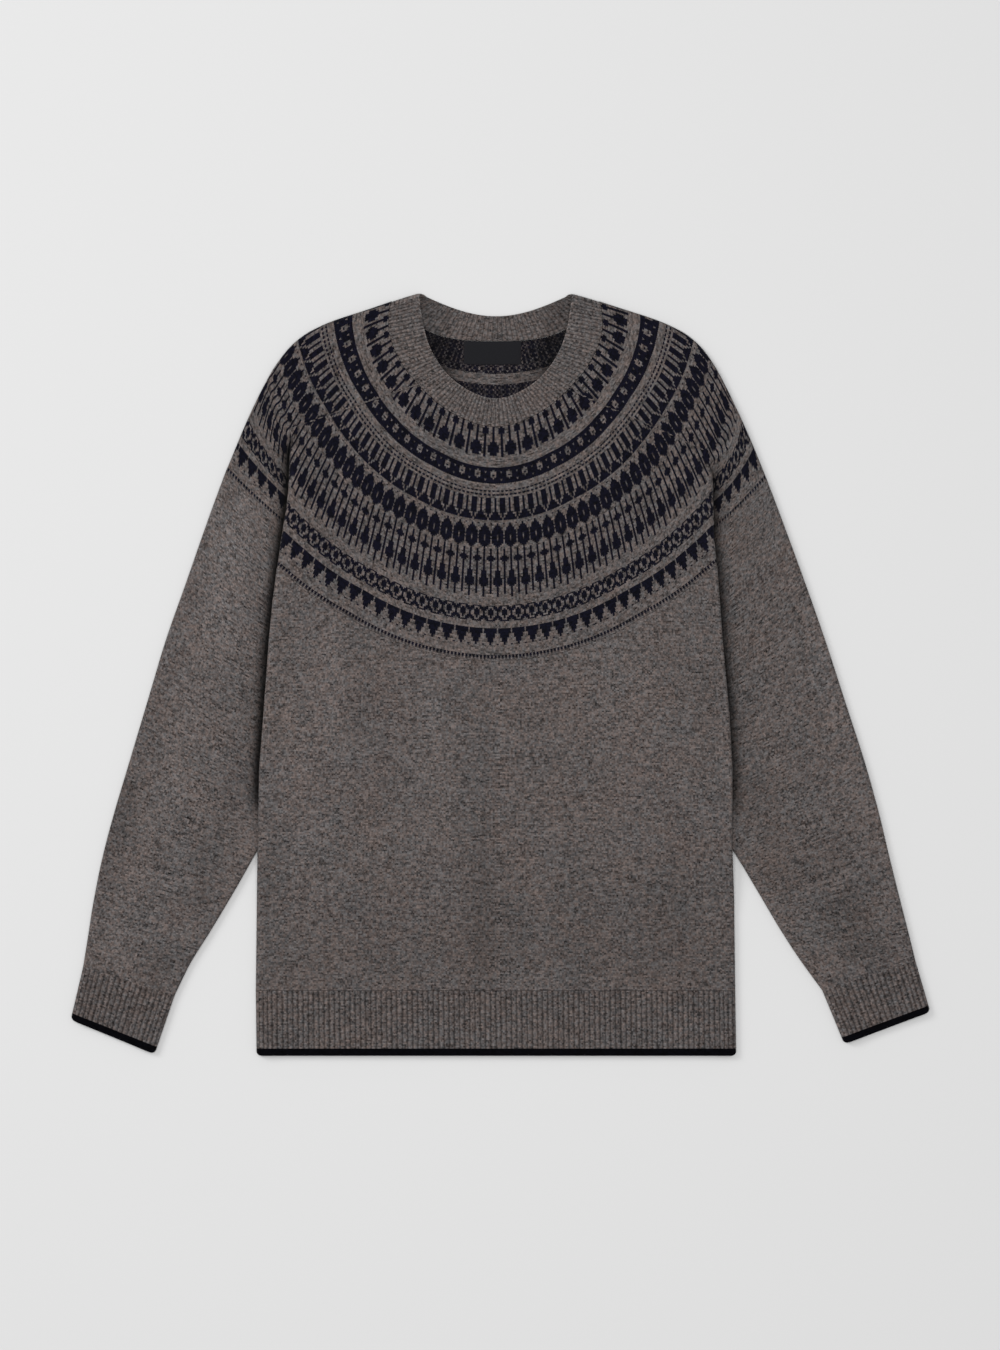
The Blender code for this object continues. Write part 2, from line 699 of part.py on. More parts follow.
def make_hem():
    lines = [
        ((body_side(-1, y), y), (body_side(1, y), y))
        for y in (HEM_TOP, HEM_TIPPING_TOP + SEAM_GAP, HEM_TIPPING_TOP, HEM_BOTTOM)
    ]
    band_tube("hem_rib", RIBBING, lines[0], lines[1], HEM_RIBS)
    band_tube("hem_tipping", NAVY, lines[2], lines[3], 0)


def neck_row(share):
    """One section round the neckband, from its seam at share 0 to its opening edge at 1."""
    turn = np.linspace(-1, 1, 2 * NECK_RIBS_FRONT + 1)
    seam_ends = [to_polar(outline_point(side, NECK_DROP))[1] for side in (-1, 1)]
    point_ends = [to_polar((NECK_POINT_X[side], NECK_POINT_Y))[1] for side in (-1, 1)]
    seam_angles = np.where(turn < 0, -turn * seam_ends[0], turn * seam_ends[1])
    edge_angles = np.where(turn < 0, -turn * point_ends[0], turn * point_ends[1])
    seam = round_plan(NECK_DROP, seam_angles)
    seam = seam + neckward_of(seam) * BAND_GAP
    edge = from_polar(read_table(NECK_OPENING, "angle", "radius", np.abs(edge_angles)), edge_angles)
    front = seam + (edge - seam) * share
    across = np.linspace(1, 0, 2 * NECK_RIBS_BACK + 1)
    back_seam = back_seam_plan(across) + np.array([0, BAND_GAP])
    arch = BACK_NECK_DIP * np.cos(math.pi / 2 * (2 * across - 1))
    edge_x = NECK_POINT_X[-1] + (NECK_POINT_X[1] - NECK_POINT_X[-1]) * across
    back = back_seam + (np.column_stack([edge_x, NECK_POINT_Y - arch]) - back_seam) * share
    room = (BAND_FRONT_HEIGHT - BAND_BACK_HEIGHT) / 2 + BAND_WALL / 2
    front, back = inset(front, (0, -1), room), inset(back, (0, -1), room)
    thickness = BAND_WALL * (1 - BAND_EDGE_THINNING * share**BAND_EDGE_POWER)
    outer, inner, _ = loop_of(
        Section(raised(front, BAND_FRONT_HEIGHT), None),
        Section(raised(back, BAND_BACK_HEIGHT), None),
        thickness,
    )
    outer[1:2 * NECK_RIBS_FRONT:2, 2] += RIB_RAISE
    back_start = len(front) + 2 * FOLD_STEPS - 1
    inner[back_start + 1:back_start + 2 * NECK_RIBS_BACK:2, 2] += RIB_RAISE
    return outer, inner


def make_neckband():
    make_wall("neckband", RIBBING, [neck_row(share) for share in NECK_ROW_SHARES], True)


def make_label():
    """A plain woven label, sewn flat below the back neck seam."""
    half = np.array(LABEL_SIZE) / 2
    rows = []
    for y in (half[1], 0.0, -half[1]):
        xs = np.linspace(-half[0], half[0], LABEL_COLUMNS) + LABEL_MIDDLE[0]
        low = np.column_stack([xs, np.full(LABEL_COLUMNS, LABEL_MIDDLE[1] + y)])
        rows.append((raised(low, LABEL_BASE + LABEL_WALL), raised(low, LABEL_BASE)))
    make_wall("neck_label", LABEL_CLOTH, rows, False)


def clear_scene():
    for old in list(bpy.data.objects):
        bpy.data.objects.remove(old, do_unlink=True)


clear_scene()
make_yoke()
make_body()
make_sleeves()
make_cuffs()
make_hem()
make_neckband()
make_label()
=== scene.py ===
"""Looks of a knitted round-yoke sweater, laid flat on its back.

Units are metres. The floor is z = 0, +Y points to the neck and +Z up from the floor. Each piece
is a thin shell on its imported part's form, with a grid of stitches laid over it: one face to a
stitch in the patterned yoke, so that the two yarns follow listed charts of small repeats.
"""

import json
import math
from collections import namedtuple
from functools import lru_cache

import bmesh
import bpy
import numpy as np
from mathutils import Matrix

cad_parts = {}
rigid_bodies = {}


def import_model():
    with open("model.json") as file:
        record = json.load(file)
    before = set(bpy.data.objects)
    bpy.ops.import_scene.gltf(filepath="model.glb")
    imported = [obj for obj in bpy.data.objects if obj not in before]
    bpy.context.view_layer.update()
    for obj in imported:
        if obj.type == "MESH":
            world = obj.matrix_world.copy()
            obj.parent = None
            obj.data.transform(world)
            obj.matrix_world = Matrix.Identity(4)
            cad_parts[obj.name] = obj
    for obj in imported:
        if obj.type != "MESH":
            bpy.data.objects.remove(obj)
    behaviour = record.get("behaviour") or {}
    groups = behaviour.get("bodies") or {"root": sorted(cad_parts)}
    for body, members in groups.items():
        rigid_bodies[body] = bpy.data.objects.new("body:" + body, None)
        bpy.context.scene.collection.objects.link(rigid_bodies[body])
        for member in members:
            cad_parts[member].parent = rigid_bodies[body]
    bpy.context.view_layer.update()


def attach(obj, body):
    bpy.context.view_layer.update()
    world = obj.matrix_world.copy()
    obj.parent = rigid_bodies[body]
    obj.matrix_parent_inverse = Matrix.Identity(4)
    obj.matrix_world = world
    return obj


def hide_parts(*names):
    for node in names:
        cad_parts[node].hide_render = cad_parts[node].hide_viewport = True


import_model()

bl_info = {
    "name": "Round-yoke sweater",
    "version": (1, 0, 0),
    "blender": (4, 5, 0),
    "location": "View3D > Sidebar > Sweater",
    "description": "Lays knitted cloth over the parts of a flat round-yoke sweater",
    "category": "Add Mesh",
}

# Cloth
WALL = 0.0020
PLY_PITCH = 0.0028
SEAM_GAP = 0.0003
BACK_HEIGHT = WALL / 2
FRONT_HEIGHT = BACK_HEIGHT + PLY_PITCH
FOLD_ROOM = PLY_PITCH / 2 + WALL / 2
EDGE_PUFF = 0.0008
EDGE_PUFF_REACH = 0.020
SLEEVE_SHOWN_REACH = 0.020
SLEEVE_BOW_SHARE = 0.3
INSET_REACH = 6

# Neckband, cuffs and hem
BAND_WALL = 0.0024
BAND_BACK_HEIGHT = BAND_WALL / 2
BAND_FRONT_HEIGHT = 0.0046
BAND_GAP = 0.0004
RIB_RAISE = 0.0007
RIB_POINTS = 6
HEM_RIBS = 92
CUFF_RIBS = 17
NECK_RIBS_FRONT = 84
NECK_RIBS_BACK = 40
HEM_TOP = -0.2912
HEM_TIPPING_TOP = -0.3447
HEM_BOTTOM = -0.3512
TIPPING_SHARE = 0.12
TIPPING_CORNER = 0.004
CORNER_ROWS = 8
BAND_ROW = 0.005

# Armhole pleat
LIFT = 2 * PLY_PITCH
LIFT_SLOPE = 0.040
PLEAT_START = 0.023
PLEAT_UNDER = 0.84
PLEAT_SLEEVE = 0.69
PLEAT_FLAT_LENGTH = 0.012
PLEAT_ROOM_SHARE = 0.4

# Yoke rounds are measured by their drop below the yoke's middle at centre front
YOKE_MIDDLE = (-0.0042, 0.2904)
NECK_DROP = 0.0616
YOKE_DROP = 0.2775
NECK_RISE = 0.0006
NECK_RISE_REACH = 0.030

# Neckband edges
NECK_POINT_Y = 0.3514
NECK_POINT_X = {-1: -0.0734, 1: 0.0660}
BACK_NECK_DIP = 0.0203
BACK_SEAM_DIP = 0.0356
BACK_SEAM_POWER = 3
CENTRE_BACK_DROP = 0.2124
BAND_EDGE_THINNING = 0.55
BAND_EDGE_POWER = 4
RIB_EDGE_SHARE = 0.04
NECK_ROW_SHARES = (1.0, 0.995, 0.985, 0.97, 0.94, 0.88, 0.78, 0.65, 0.5, 0.35, 0.2, 0.08, 0.0)
NECK_BAND_DEPTH = 0.028
NECK_TIP_RADIUS = 0.003
# A painted highlight along the front band's opening rim, and painted shade on the back band's inner
# side, more towards its ends
NECK_RIM_PAINTED_HIGHLIGHT = 0.30
NECK_RIM_SHARE = 0.07
BACK_BAND_PAINTED_SHADE = 0.05
BACK_BAND_SIDE_PAINTED_SHADE = 0.28
BACK_BAND_SIDE_START = 0.030
BACK_BAND_SIDE_REACH = 0.032

# Label
LABEL_MIDDLE = (-0.0069, 0.2972)
LABEL_SIZE = (0.0526, 0.0212)
LABEL_WALL = 0.0010
LABEL_BASE = WALL + SEAM_GAP
LABEL_COLUMNS = 41
LABEL_ROWS = 21
LABEL_EDGE_SHARE = 0.45
LABEL_SKEW = 0.0003
LABEL_SAG = 0.0006
LABEL_EDGE_POWER = 8

# Sections along each panel
FOLD_STEPS = 4
PLEAT_POINTS = 4 * FOLD_STEPS + 3
SIDE_SHARE = 0.24
SIDE_COLUMNS = 18
MIDDLE_COLUMNS = 26
CAP_COLUMNS = 48
CURVE_POINTS = 120
PLAIN_COLUMNS = 60
BODY_ROWS = 90
SLEEVE_ROWS = 90
BACK_MEETS_FRONT = 0.3
LINING_ROW = 0.008
BODY_FOLDS_OUTWARD = ((1.0, 0.0), (-1.0, 0.0))
BACK_ROUND_EASE = 1.5
LOWEST_CROSSING = 20.0
CROSSING_STEPS = 40

# Corners between the rows of a table are rounded by the mean of five places: over a length on the
# shoulders' outline, and over degrees on the neck opening, less near the shoulders
SOFTENING_STEPS = (-1.0, -0.5, 0.0, 0.5, 1.0)
OUTLINE_SOFTENING = 0.012
OPENING_SOFTENING = 12
OPENING_SOFT_WITHIN = 30

# Places of the wales round the yoke
REACH_SAMPLES = 24
REACH_DEGREE = 4
END_STITCH = 0.4

# Wool
STITCH_SLANT = 0.45
STITCH_UNEVEN = 0.95
STREAK_WALES = 2.7
STREAK_UNEVEN = 0.60
# Painted shade between the stitches, where they sink in
STITCH_GROOVE_PAINTED_SHADE = 0.30
CROWN_SHARE = 0.6
FIBRE_SCALE = 620.0
FIBRE_CONTRAST = 0.80
MELANGE_SCALE = 320.0
MELANGE_CONTRAST = 1.6
MOTTLE_SCALE = 22.0
MOTTLE_CONTRAST = 0.06
MOTTLE_TINT = 0.55
WARM_TINT = (1.11, 0.99, 0.92)
COOL_TINT = (0.93, 1.00, 1.03)
NAVY_SPREAD = 0.5
# Painted shade in the ribs' valleys, on the cuffs and hem and on the neckband
RIB_VALLEY_PAINTED_SHADE = 0.58
NECK_RIB_VALLEY_PAINTED_SHADE = 0.50
NECKBAND_SHADE = 1.14
RIB_VALLEY_POWER = 3.0
RIB_BUMP = 0.8
KNIT_RELIEF = 0.0004
KNIT_BUMP = 0.45

# Inside of the back yoke
FLOAT_MOTTLE = 0.85
FLOAT_MOTTLE_POWER = 6
FLOAT_WAVES = (2.1, 5.3, 1.7)
# Painted shade on the inside, seen through the neck opening: some everywhere, more towards its
# sides
INSIDE_PAINTED_SHADE = 0.12
INSIDE_SIDE_PAINTED_SHADE = 0.50
INSIDE_SHADE_START = 0.018
INSIDE_SHADE_REACH = 0.032

# Label tape
THREAD_PITCH = 0.0006
THREAD_SHADE = 0.25
THREAD_RELIEF = 0.0001
THREAD_BUMP = 0.4
TAPE_FIBRE_CONTRAST = 0.2

# Stage
FLOOR_SIZE = 40.0
FLOOR_DROP = -0.0002
OVERHEAD_PLACE = (0.0, 0.0, 4.6)
OVERHEAD_SIZE = 3.5
SIDE_PLACE = (-3.6, 2.2, 3.0)
SIDE_SIZE = 2.0
CAMERA_SENSOR = 36.0

# How far a round lies outside a circle, near the neck and at the yoke's edge. Angles here are in
# degrees from centre front.
RoundShape = namedtuple("RoundShape", "angle near_neck at_edge")
ROUND_SHAPES = (
    RoundShape(0, 0.0, 0.0),
    RoundShape(15, 0.0, -0.0014),
    RoundShape(30, 0.0, -0.0042),
    RoundShape(45, 0.0028, -0.0005),
    RoundShape(60, 0.0069, 0.0065),
    RoundShape(75, 0.0143, 0.0143),
    RoundShape(90, 0.0259, 0.0259),
    RoundShape(105, 0.0388, 0.0388),
    RoundShape(120, 0.0475, 0.0475),
)

# How far the neck opening's front edge is from the yoke's middle
BandEdge = namedtuple("BandEdge", "angle radius")
NECK_OPENING = (
    BandEdge(0, 0.0351),
    BandEdge(30, 0.0355),
    BandEdge(45, 0.0374),
    BandEdge(60, 0.0406),
    BandEdge(75, 0.0462),
    BandEdge(90, 0.0531),
    BandEdge(105, 0.0637),
    BandEdge(120, 0.0776),
    BandEdge(131, 0.0928),
)

# The shoulders' outline, where each round ends
YokeOutline = namedtuple("YokeOutline", "drop right_x right_y left_x left_y")
YOKE_OUTLINE = (
    YokeOutline(NECK_DROP, -0.1011, 0.3435, 0.0928, 0.3435),
    YokeOutline(0.0877, -0.1196, 0.3375, 0.1122, 0.3375),
    YokeOutline(0.0997, -0.1385, 0.3311, 0.1325, 0.3311),
    YokeOutline(0.1145, -0.1538, 0.3265, 0.1464, 0.3265),
    YokeOutline(0.1256, -0.1658, 0.3218, 0.1600, 0.3209),
    YokeOutline(0.1478, -0.1875, 0.3098, 0.1792, 0.3098),
    YokeOutline(0.1755, -0.2055, 0.2886, 0.1967, 0.2886),
    YokeOutline(0.1986, -0.2175, 0.2683, 0.2073, 0.2683),
    YokeOutline(0.2189, -0.2286, 0.2452, 0.2193, 0.2443),
    YokeOutline(0.2336, -0.2360, 0.2286, 0.2272, 0.2267),
    YokeOutline(0.2549, -0.2448, 0.2064, 0.2378, 0.2009),
    YokeOutline(YOKE_DROP, -0.2529, 0.1870, 0.2461, 0.1796),
)

# The body's side edges, from the armholes to the hem
BodySide = namedtuple("BodySide", "y right_x left_x")
BODY_SIDES = (
    BodySide(0.2258, -0.1916, 0.1916),
    BodySide(0.1980, -0.1926, 0.1940),
    BodySide(0.1704, -0.1938, 0.1953),
    BodySide(0.1519, -0.1962, 0.1958),
    BodySide(0.1242, -0.2009, 0.1967),
    BodySide(0.1011, -0.2041, 0.1990),
    BodySide(0.0688, -0.2092, 0.2018),
    BodySide(0.0319, -0.2129, 0.2046),
    BodySide(-0.0356, -0.2175, 0.2110),
    BodySide(-0.0854, -0.2214, 0.2138),
    BodySide(-0.1621, -0.2230, 0.2138),
    BodySide(-0.2083, -0.2239, 0.2156),
    BodySide(-0.2914, -0.2249, 0.2166),
    BodySide(HEM_BOTTOM, -0.2242, 0.2175),
)

# Where each armhole's pleat starts to open
PLEAT_TOP = {-1: (-0.1916, 0.2258), 1: (0.1935, 0.2027)}

# Rounds down each sleeve. Its inner corners lie under the body until it comes out from below it.
SleeveRing = namedtuple("SleeveRing", "outer_x outer_y inner_x inner_y")
SLEEVE_RINGS = {
    -1: (
        SleeveRing(-0.2529, 0.1870, -0.1741, 0.1196),
        SleeveRing(-0.2692, 0.1427, -0.1639, 0.0596),
        SleeveRing(-0.2895, 0.0845, -0.1547, 0.0023),
        SleeveRing(-0.3080, 0.0319, -0.1612, -0.0457),
        SleeveRing(-0.3246, -0.0235, -0.1870, -0.0937),
        SleeveRing(-0.3412, -0.0790, -0.2101, -0.1381),
        SleeveRing(-0.3555, -0.1270, -0.2304, -0.1732),
        SleeveRing(-0.3662, -0.1676, -0.2480, -0.2036),
        SleeveRing(-0.3745, -0.2082, -0.2674, -0.2360),
        SleeveRing(-0.3796, -0.2406, -0.2858, -0.2655),
        SleeveRing(-0.3842, -0.2692, -0.3006, -0.2955),
    ),
    1: (
        SleeveRing(0.2461, 0.1796, 0.1768, 0.1187),
        SleeveRing(0.2600, 0.1427, 0.1667, 0.0596),
        SleeveRing(0.2803, 0.0873, 0.1556, 0.0023),
        SleeveRing(0.2997, 0.0319, 0.1501, -0.0513),
        SleeveRing(0.3177, -0.0235, 0.1759, -0.0956),
        SleeveRing(0.3357, -0.0790, 0.2009, -0.1399),
        SleeveRing(0.3491, -0.1270, 0.2239, -0.1759),
        SleeveRing(0.3588, -0.1676, 0.2406, -0.2036),
        SleeveRing(0.3689, -0.2082, 0.2581, -0.2332),
        SleeveRing(0.3772, -0.2406, 0.2766, -0.2618),
        SleeveRing(0.3828, -0.2636, 0.2978, -0.2909),
    ),
}
CUFF_ENDS = {
    -1: SleeveRing(-0.3957, -0.3181, -0.3191, -0.3496),
    1: SleeveRing(0.3966, -0.3108, 0.3181, -0.3403),
}

# Knitting
WALE = 0.00168
COURSE = 0.00138
WALES_PER_RIB = 3
SAME_PLACE = 1e-7
SHARP_EDGE = math.radians(50)
PLAIN = "."
YARNS = {"X": 1.0, "x": 0.6, PLAIN: 0.0}

# A band's wales run from centre front, or centre back, to each shoulder's fold. Its phase is the
# chart's column at centre front. Each round is a count and its stitches, with X for navy and x for
# navy that is half drawn under.
Band = namedtuple("Band", "drop front_wales back_wales phase rounds")
YOKE_BANDS = (
    Band(0.0902, 102, 62, 6.46, (
        (1, ".X...X.."), (4, "XXX..X.."), (5, ".X...X.."), (2, ".X..XXX."),
        (5, ".X.XXXXX"), (2, ".X..XXX."), (1, ".X......"),
    )),
    Band(0.0991, 102, 62, 0.0, ((8, PLAIN),)),
    Band(0.1144, 128, 87, 3.54, (
        (2, "XXXXXXXX"), (1, "XX.XXXXX"), (1, "X...XX.X"), (1, "X...XXXX"), (1, "X.X.XXXX"),
        (1, "X...XXXX"), (1, "XX.XXXXX"), (1, "XXXXXX.X"), (2, "XXXXXXXX"),
    )),
    Band(0.1203, 128, 87, 0.0, ((4, PLAIN),)),
    Band(0.1258, 127, 89, 1.31, ((1, "X."), (1, PLAIN), (1, "X."))),
    Band(0.1272, 127, 89, 0.0, ((1, PLAIN),)),
    Band(0.1483, 161, 115, 6.50, (
        (10, ".XXX..X."), (1, ".XXX.XXX"), (1, "..X..XXX"), (2, "X.X.XXXX"), (2, "XX.XXXXX"),
    )),
    Band(0.1505, 161, 115, 0.0, ((2, PLAIN),)),
    Band(0.1741, 194, 143, 2.17, (
        (1, "...X...X"), (1, "...X...."), (1, "..XXX..."), (2, ".XXXXX.."), (3, "XXXXXXX."),
        (1, "XXXxXXXX"), (1, "XXX.XXX."), (1, "XXX.XXXX"), (1, "XXXxXXX."), (2, "XXXXXXX."),
        (1, ".XXXXX.."), (1, "..XXX..."), (1, "...X...."),
    )),
    Band(0.2189, 194, 143, 2.17, (
        (5, "...X...X"), (1, "X..X..XX"), (2, "XX.X.XXX"), (1, "X..X..XX"), (6, "...X...X"),
        (5, "..XXX..X"), (5, ".XXXXX.X"), (1, "..XXX..X"), (5, "...X...X"), (2, "...X...."),
    )),
    Band(0.2265, 194, 143, 0.0, ((6, PLAIN),)),
    Band(0.2415, 208, 162, 7.15, (
        (1, "..XXXXX."), (1, ".XX...XX"), (1, "XXX.X.XX"), (1, "XX.XXX.X"), (3, "X..XXX.."),
        (1, "XX..X..X"), (1, "XXX.X.XX"), (1, ".XX...XX"), (1, "..XXXXX."),
    )),
    Band(0.2475, 208, 162, 0.0, ((4, PLAIN),)),
    Band(0.2632, 210, 164, 6.30, (
        (4, "XXXXXXX."), (3, ".XXXXX.."), (3, "..XXX..."), (1, "...X...."), (1, "...X...X"),
    )),
    Band(0.2722, 210, 164, 0.0, ((6, PLAIN),)),
    Band(0.2766, 218, 168, 0.40, ((2, "X."), (1, "x."))),
    Band(YOKE_DROP, 218, 168, 0.0, ((1, PLAIN),)),
)
INSIDE_SHOWS_TO = 0.1258

# Soft ridges in the laid cloth. Each runs between two places and fades towards its ends.
Ridge = namedtuple("Ridge", "start_x start_y end_x end_y width height")
RIDGES = (
    Ridge(-0.148, 0.045, -0.146, -0.012, 0.007, 0.0016),
    Ridge(-0.190, 0.010, -0.168, -0.215, 0.016, 0.0011),
    Ridge(-0.078, 0.030, -0.054, -0.215, 0.026, 0.0016),
    Ridge(0.020, 0.000, 0.034, -0.150, 0.022, 0.0012),
    Ridge(0.100, -0.030, 0.098, -0.280, 0.026, 0.0013),
    Ridge(0.176, 0.040, 0.186, -0.240, 0.017, 0.0010),
    Ridge(-0.006, -0.190, 0.012, -0.300, 0.018, 0.0010),
    Ridge(-0.140, -0.200, -0.128, -0.310, 0.015, 0.0009),
    Ridge(-0.236, 0.152, -0.254, 0.050, 0.014, 0.0018),
    Ridge(-0.254, 0.060, -0.291, -0.107, 0.018, 0.0020),
    Ridge(-0.290, -0.100, -0.352, -0.264, 0.017, 0.0018),
    Ridge(-0.225, 0.030, -0.250, -0.090, 0.012, 0.0010),
    Ridge(0.232, 0.120, 0.262, 0.000, 0.018, 0.0013),
    Ridge(0.252, -0.020, 0.300, -0.150, 0.020, 0.0012),
    Ridge(0.262, -0.205, 0.330, -0.226, 0.009, 0.0010),
    Ridge(0.300, -0.140, 0.352, -0.270, 0.016, 0.0011),
    Ridge(-0.130, 0.230, -0.060, 0.060, 0.030, 0.0008),
    Ridge(0.120, 0.215, 0.070, 0.050, 0.030, 0.0009),
    Ridge(-0.020, 0.190, 0.006, 0.060, 0.028, 0.0007),
    Ridge(-0.196, 0.262, -0.150, 0.300, 0.016, 0.0009),
    Ridge(0.186, 0.262, 0.140, 0.300, 0.016, 0.0008),
)
FLOOR_RIDGES = (
    Ridge(-0.120, 0.020, -0.090, -0.240, 0.018, 0.0006),
    Ridge(0.040, 0.060, 0.010, -0.200, 0.022, 0.0005),
    Ridge(0.130, 0.000, 0.150, -0.230, 0.016, 0.0006),
    Ridge(-0.245, 0.100, -0.300, -0.100, 0.014, 0.0005),
    Ridge(0.240, 0.100, 0.300, -0.120, 0.015, 0.0006),
    Ridge(-0.060, 0.240, 0.070, 0.180, 0.020, 0.0004),
)
RIDGE_FADE = 0.35

# Painted light and shade: soft changes of tone painted where the laid cloth takes more or less
# light. A height is a share of tone.
PAINTED_LIGHT_AND_SHADE = (
    Ridge(-0.240, 0.150, -0.290, -0.100, 0.034, 0.075),
    Ridge(-0.290, -0.100, -0.352, -0.264, 0.030, 0.055),
    Ridge(-0.176, 0.040, -0.170, -0.230, 0.026, 0.055),
    Ridge(-0.150, 0.040, -0.146, -0.010, 0.006, 0.060),
    Ridge(-0.060, 0.000, -0.056, -0.200, 0.022, 0.040),
    Ridge(-0.110, 0.035, -0.110, -0.115, 0.010, -0.060),
    Ridge(-0.018, 0.010, -0.016, -0.270, 0.011, -0.055),
    Ridge(0.066, -0.180, 0.068, -0.290, 0.012, -0.060),
    Ridge(0.143, -0.170, 0.145, -0.280, 0.012, -0.055),
    Ridge(0.118, 0.030, 0.116, -0.160, 0.024, 0.020),
    Ridge(-0.190, -0.270, 0.190, -0.270, 0.026, -0.035),
    Ridge(0.250, 0.100, 0.290, -0.080, 0.050, -0.020),
    Ridge(0.300, -0.170, 0.350, -0.262, 0.034, -0.075),
    Ridge(0.262, -0.203, 0.325, -0.222, 0.006, -0.060),
    Ridge(0.080, 0.110, 0.180, 0.060, 0.040, -0.020),
    Ridge(-0.243, 0.150, -0.252, 0.040, 0.024, 0.200),
    Ridge(-0.254, -0.110, -0.277, -0.212, 0.014, -0.130),
    Ridge(-0.318, -0.025, -0.338, -0.110, 0.014, -0.070),
    Ridge(-0.345, -0.105, -0.368, -0.185, 0.012, -0.170),
    Ridge(-0.296, -0.258, -0.318, -0.285, 0.016, -0.150),
    Ridge(-0.152, 0.030, -0.156, -0.065, 0.022, 0.090),
    Ridge(-0.183, -0.070, -0.186, -0.165, 0.016, 0.090),
    Ridge(-0.058, -0.025, -0.058, -0.115, 0.014, 0.050),
    Ridge(-0.190, -0.235, 0.190, -0.235, 0.055, -0.100),
    Ridge(-0.022, -0.140, -0.016, -0.285, 0.014, -0.110),
    Ridge(0.101, 0.030, 0.101, -0.040, 0.012, 0.060),
    Ridge(0.148, 0.035, 0.166, -0.015, 0.014, -0.080),
    Ridge(0.038, -0.150, 0.038, -0.285, 0.010, 0.060),
    Ridge(0.165, -0.150, 0.165, -0.270, 0.014, -0.090),
    Ridge(0.197, 0.010, 0.197, -0.045, 0.010, -0.110),
    Ridge(0.296, 0.030, 0.312, -0.055, 0.018, 0.060),
    Ridge(0.285, 0.110, 0.302, 0.020, 0.012, 0.110),
    Ridge(0.236, -0.105, 0.262, -0.195, 0.016, -0.130),
    Ridge(0.270, -0.105, 0.300, -0.170, 0.022, -0.070),
    Ridge(0.316, -0.205, 0.330, -0.255, 0.018, -0.170),
    Ridge(-0.385, -0.290, -0.325, -0.310, 0.030, -0.090),
    Ridge(0.325, -0.300, 0.385, -0.280, 0.030, -0.060),
)
# Painted shade in each armhole's crease on the sleeve beside the body's edge, softer further out,
# and a painted light rim on the body's edge above it
ARMHOLE_PAINTED_SHADE = {-1: -0.94, 1: -0.62}
ARMHOLE_REACH = 0.0075
DARKEST_PAINTED_SHADE = -0.95
ARMHOLE_SOFT_PAINTED_SHADE = -0.24
ARMHOLE_SOFT_REACH = 0.014
ARMHOLE_BOTTOM = -0.150
ARMHOLE_FADE = 0.05
BODY_RIM_PAINTED_HIGHLIGHT = 0.10
BODY_RIM_WIDTH = 0.0022
ARMHOLE_HIDDEN = 0.010

# The cut of each piece: its width and length before it is laid, and its area
Cut = namedtuple("Cut", "width length area")
BODY_FRONT_CUT = Cut(0.455, 0.392, 0.147)
BODY_BACK_CUT = Cut(0.455, 0.408, 0.168)

Line = namedtuple("Line", "ids across wales courses")
Section = namedtuple("Section", "points neckward", defaults=(None,))


def smooth(share):
    """An S-shaped rise from 0 to 1 as share goes from 0 to 1."""
    held = np.clip(share, 0.0, 1.0)
    return held * held * (3 - 2 * held)


def unit(vector):
    return vector / np.linalg.norm(vector)


def read_table(table, key, value, at):
    """The column value of a table, read between its rows at a place in the column key."""
    keys = np.array([getattr(row, key) for row in table])
    values = np.array([getattr(row, value) for row in table])
    order = np.argsort(keys)
    return np.interp(at, keys[order], values[order])


def side_name(side):
    return "right" if side < 0 else "left"


def body_side(side, y):
    """Where the body's right (-1) or left (1) edge lies in X, at a place in Y."""
    return read_table(BODY_SIDES, "y", side_name(side) + "_x", y)


def sleeve_inner_x(side, y):
    """Where a sleeve's inner edge, or the hidden end of the pleat above it, lies under the body."""
    corners = [PLEAT_TOP[side]] + [(ring.inner_x, ring.inner_y) for ring in SLEEVE_RINGS[side]]
    corners = np.array(corners[::-1])
    return np.interp(y, corners[:, 1], corners[:, 0])


def pleat_depth(side, y):
    """How far the pleat has opened at a place in Y, from 0 at its top to 1."""
    return smooth((PLEAT_TOP[side][1] - y) / PLEAT_START)


def body_lift(plan):
    """How far the body is lifted by the sleeves and pleats under its sides."""
    lift = np.zeros(len(plan))
    for side in (-1, 1):
        inward = -side * (plan[:, 0] - sleeve_inner_x(side, plan[:, 1]))
        lift += LIFT * pleat_depth(side, plan[:, 1]) * (1 - smooth(inward / LIFT_SLOPE))
    return lift


def edge_puff(plan):
    """The cloth stands a little higher beside its two end folds."""
    along = distances(plan)
    nearest = np.minimum(along, along[-1] - along)
    return EDGE_PUFF * (1 - smooth(nearest / EDGE_PUFF_REACH))


def distances(points):
    """How far along a line each of its points lies."""
    steps = np.linalg.norm(np.diff(points, axis=0), axis=1)
    return np.concatenate([[0.0], np.cumsum(steps)])


def raised(plan, heights):
    """Plan points with their heights."""
    return np.column_stack([plan, np.broadcast_to(heights, len(plan))])


def round_radius(drop, angle):
    """A yoke round's distance from the yoke's middle, at an angle in degrees from centre front."""
    share = (drop / YOKE_DROP) ** 2
    near_neck = read_table(ROUND_SHAPES, "angle", "near_neck", np.abs(angle))
    at_edge = read_table(ROUND_SHAPES, "angle", "at_edge", np.abs(angle))
    return drop + near_neck * (1 - share) + at_edge * share


def from_polar(radius, angle):
    """Plan points at distances from the yoke's middle and angles in degrees from centre front."""
    turn = np.radians(angle)
    return np.column_stack([
        YOKE_MIDDLE[0] + radius * np.sin(turn),
        YOKE_MIDDLE[1] - radius * np.cos(turn),
    ])


def to_polar(point):
    """A plan point's distance from the yoke's middle and its angle in degrees from centre front."""
    across, down = point[0] - YOKE_MIDDLE[0], YOKE_MIDDLE[1] - point[1]
    return math.hypot(across, down), math.degrees(math.atan2(across, down))


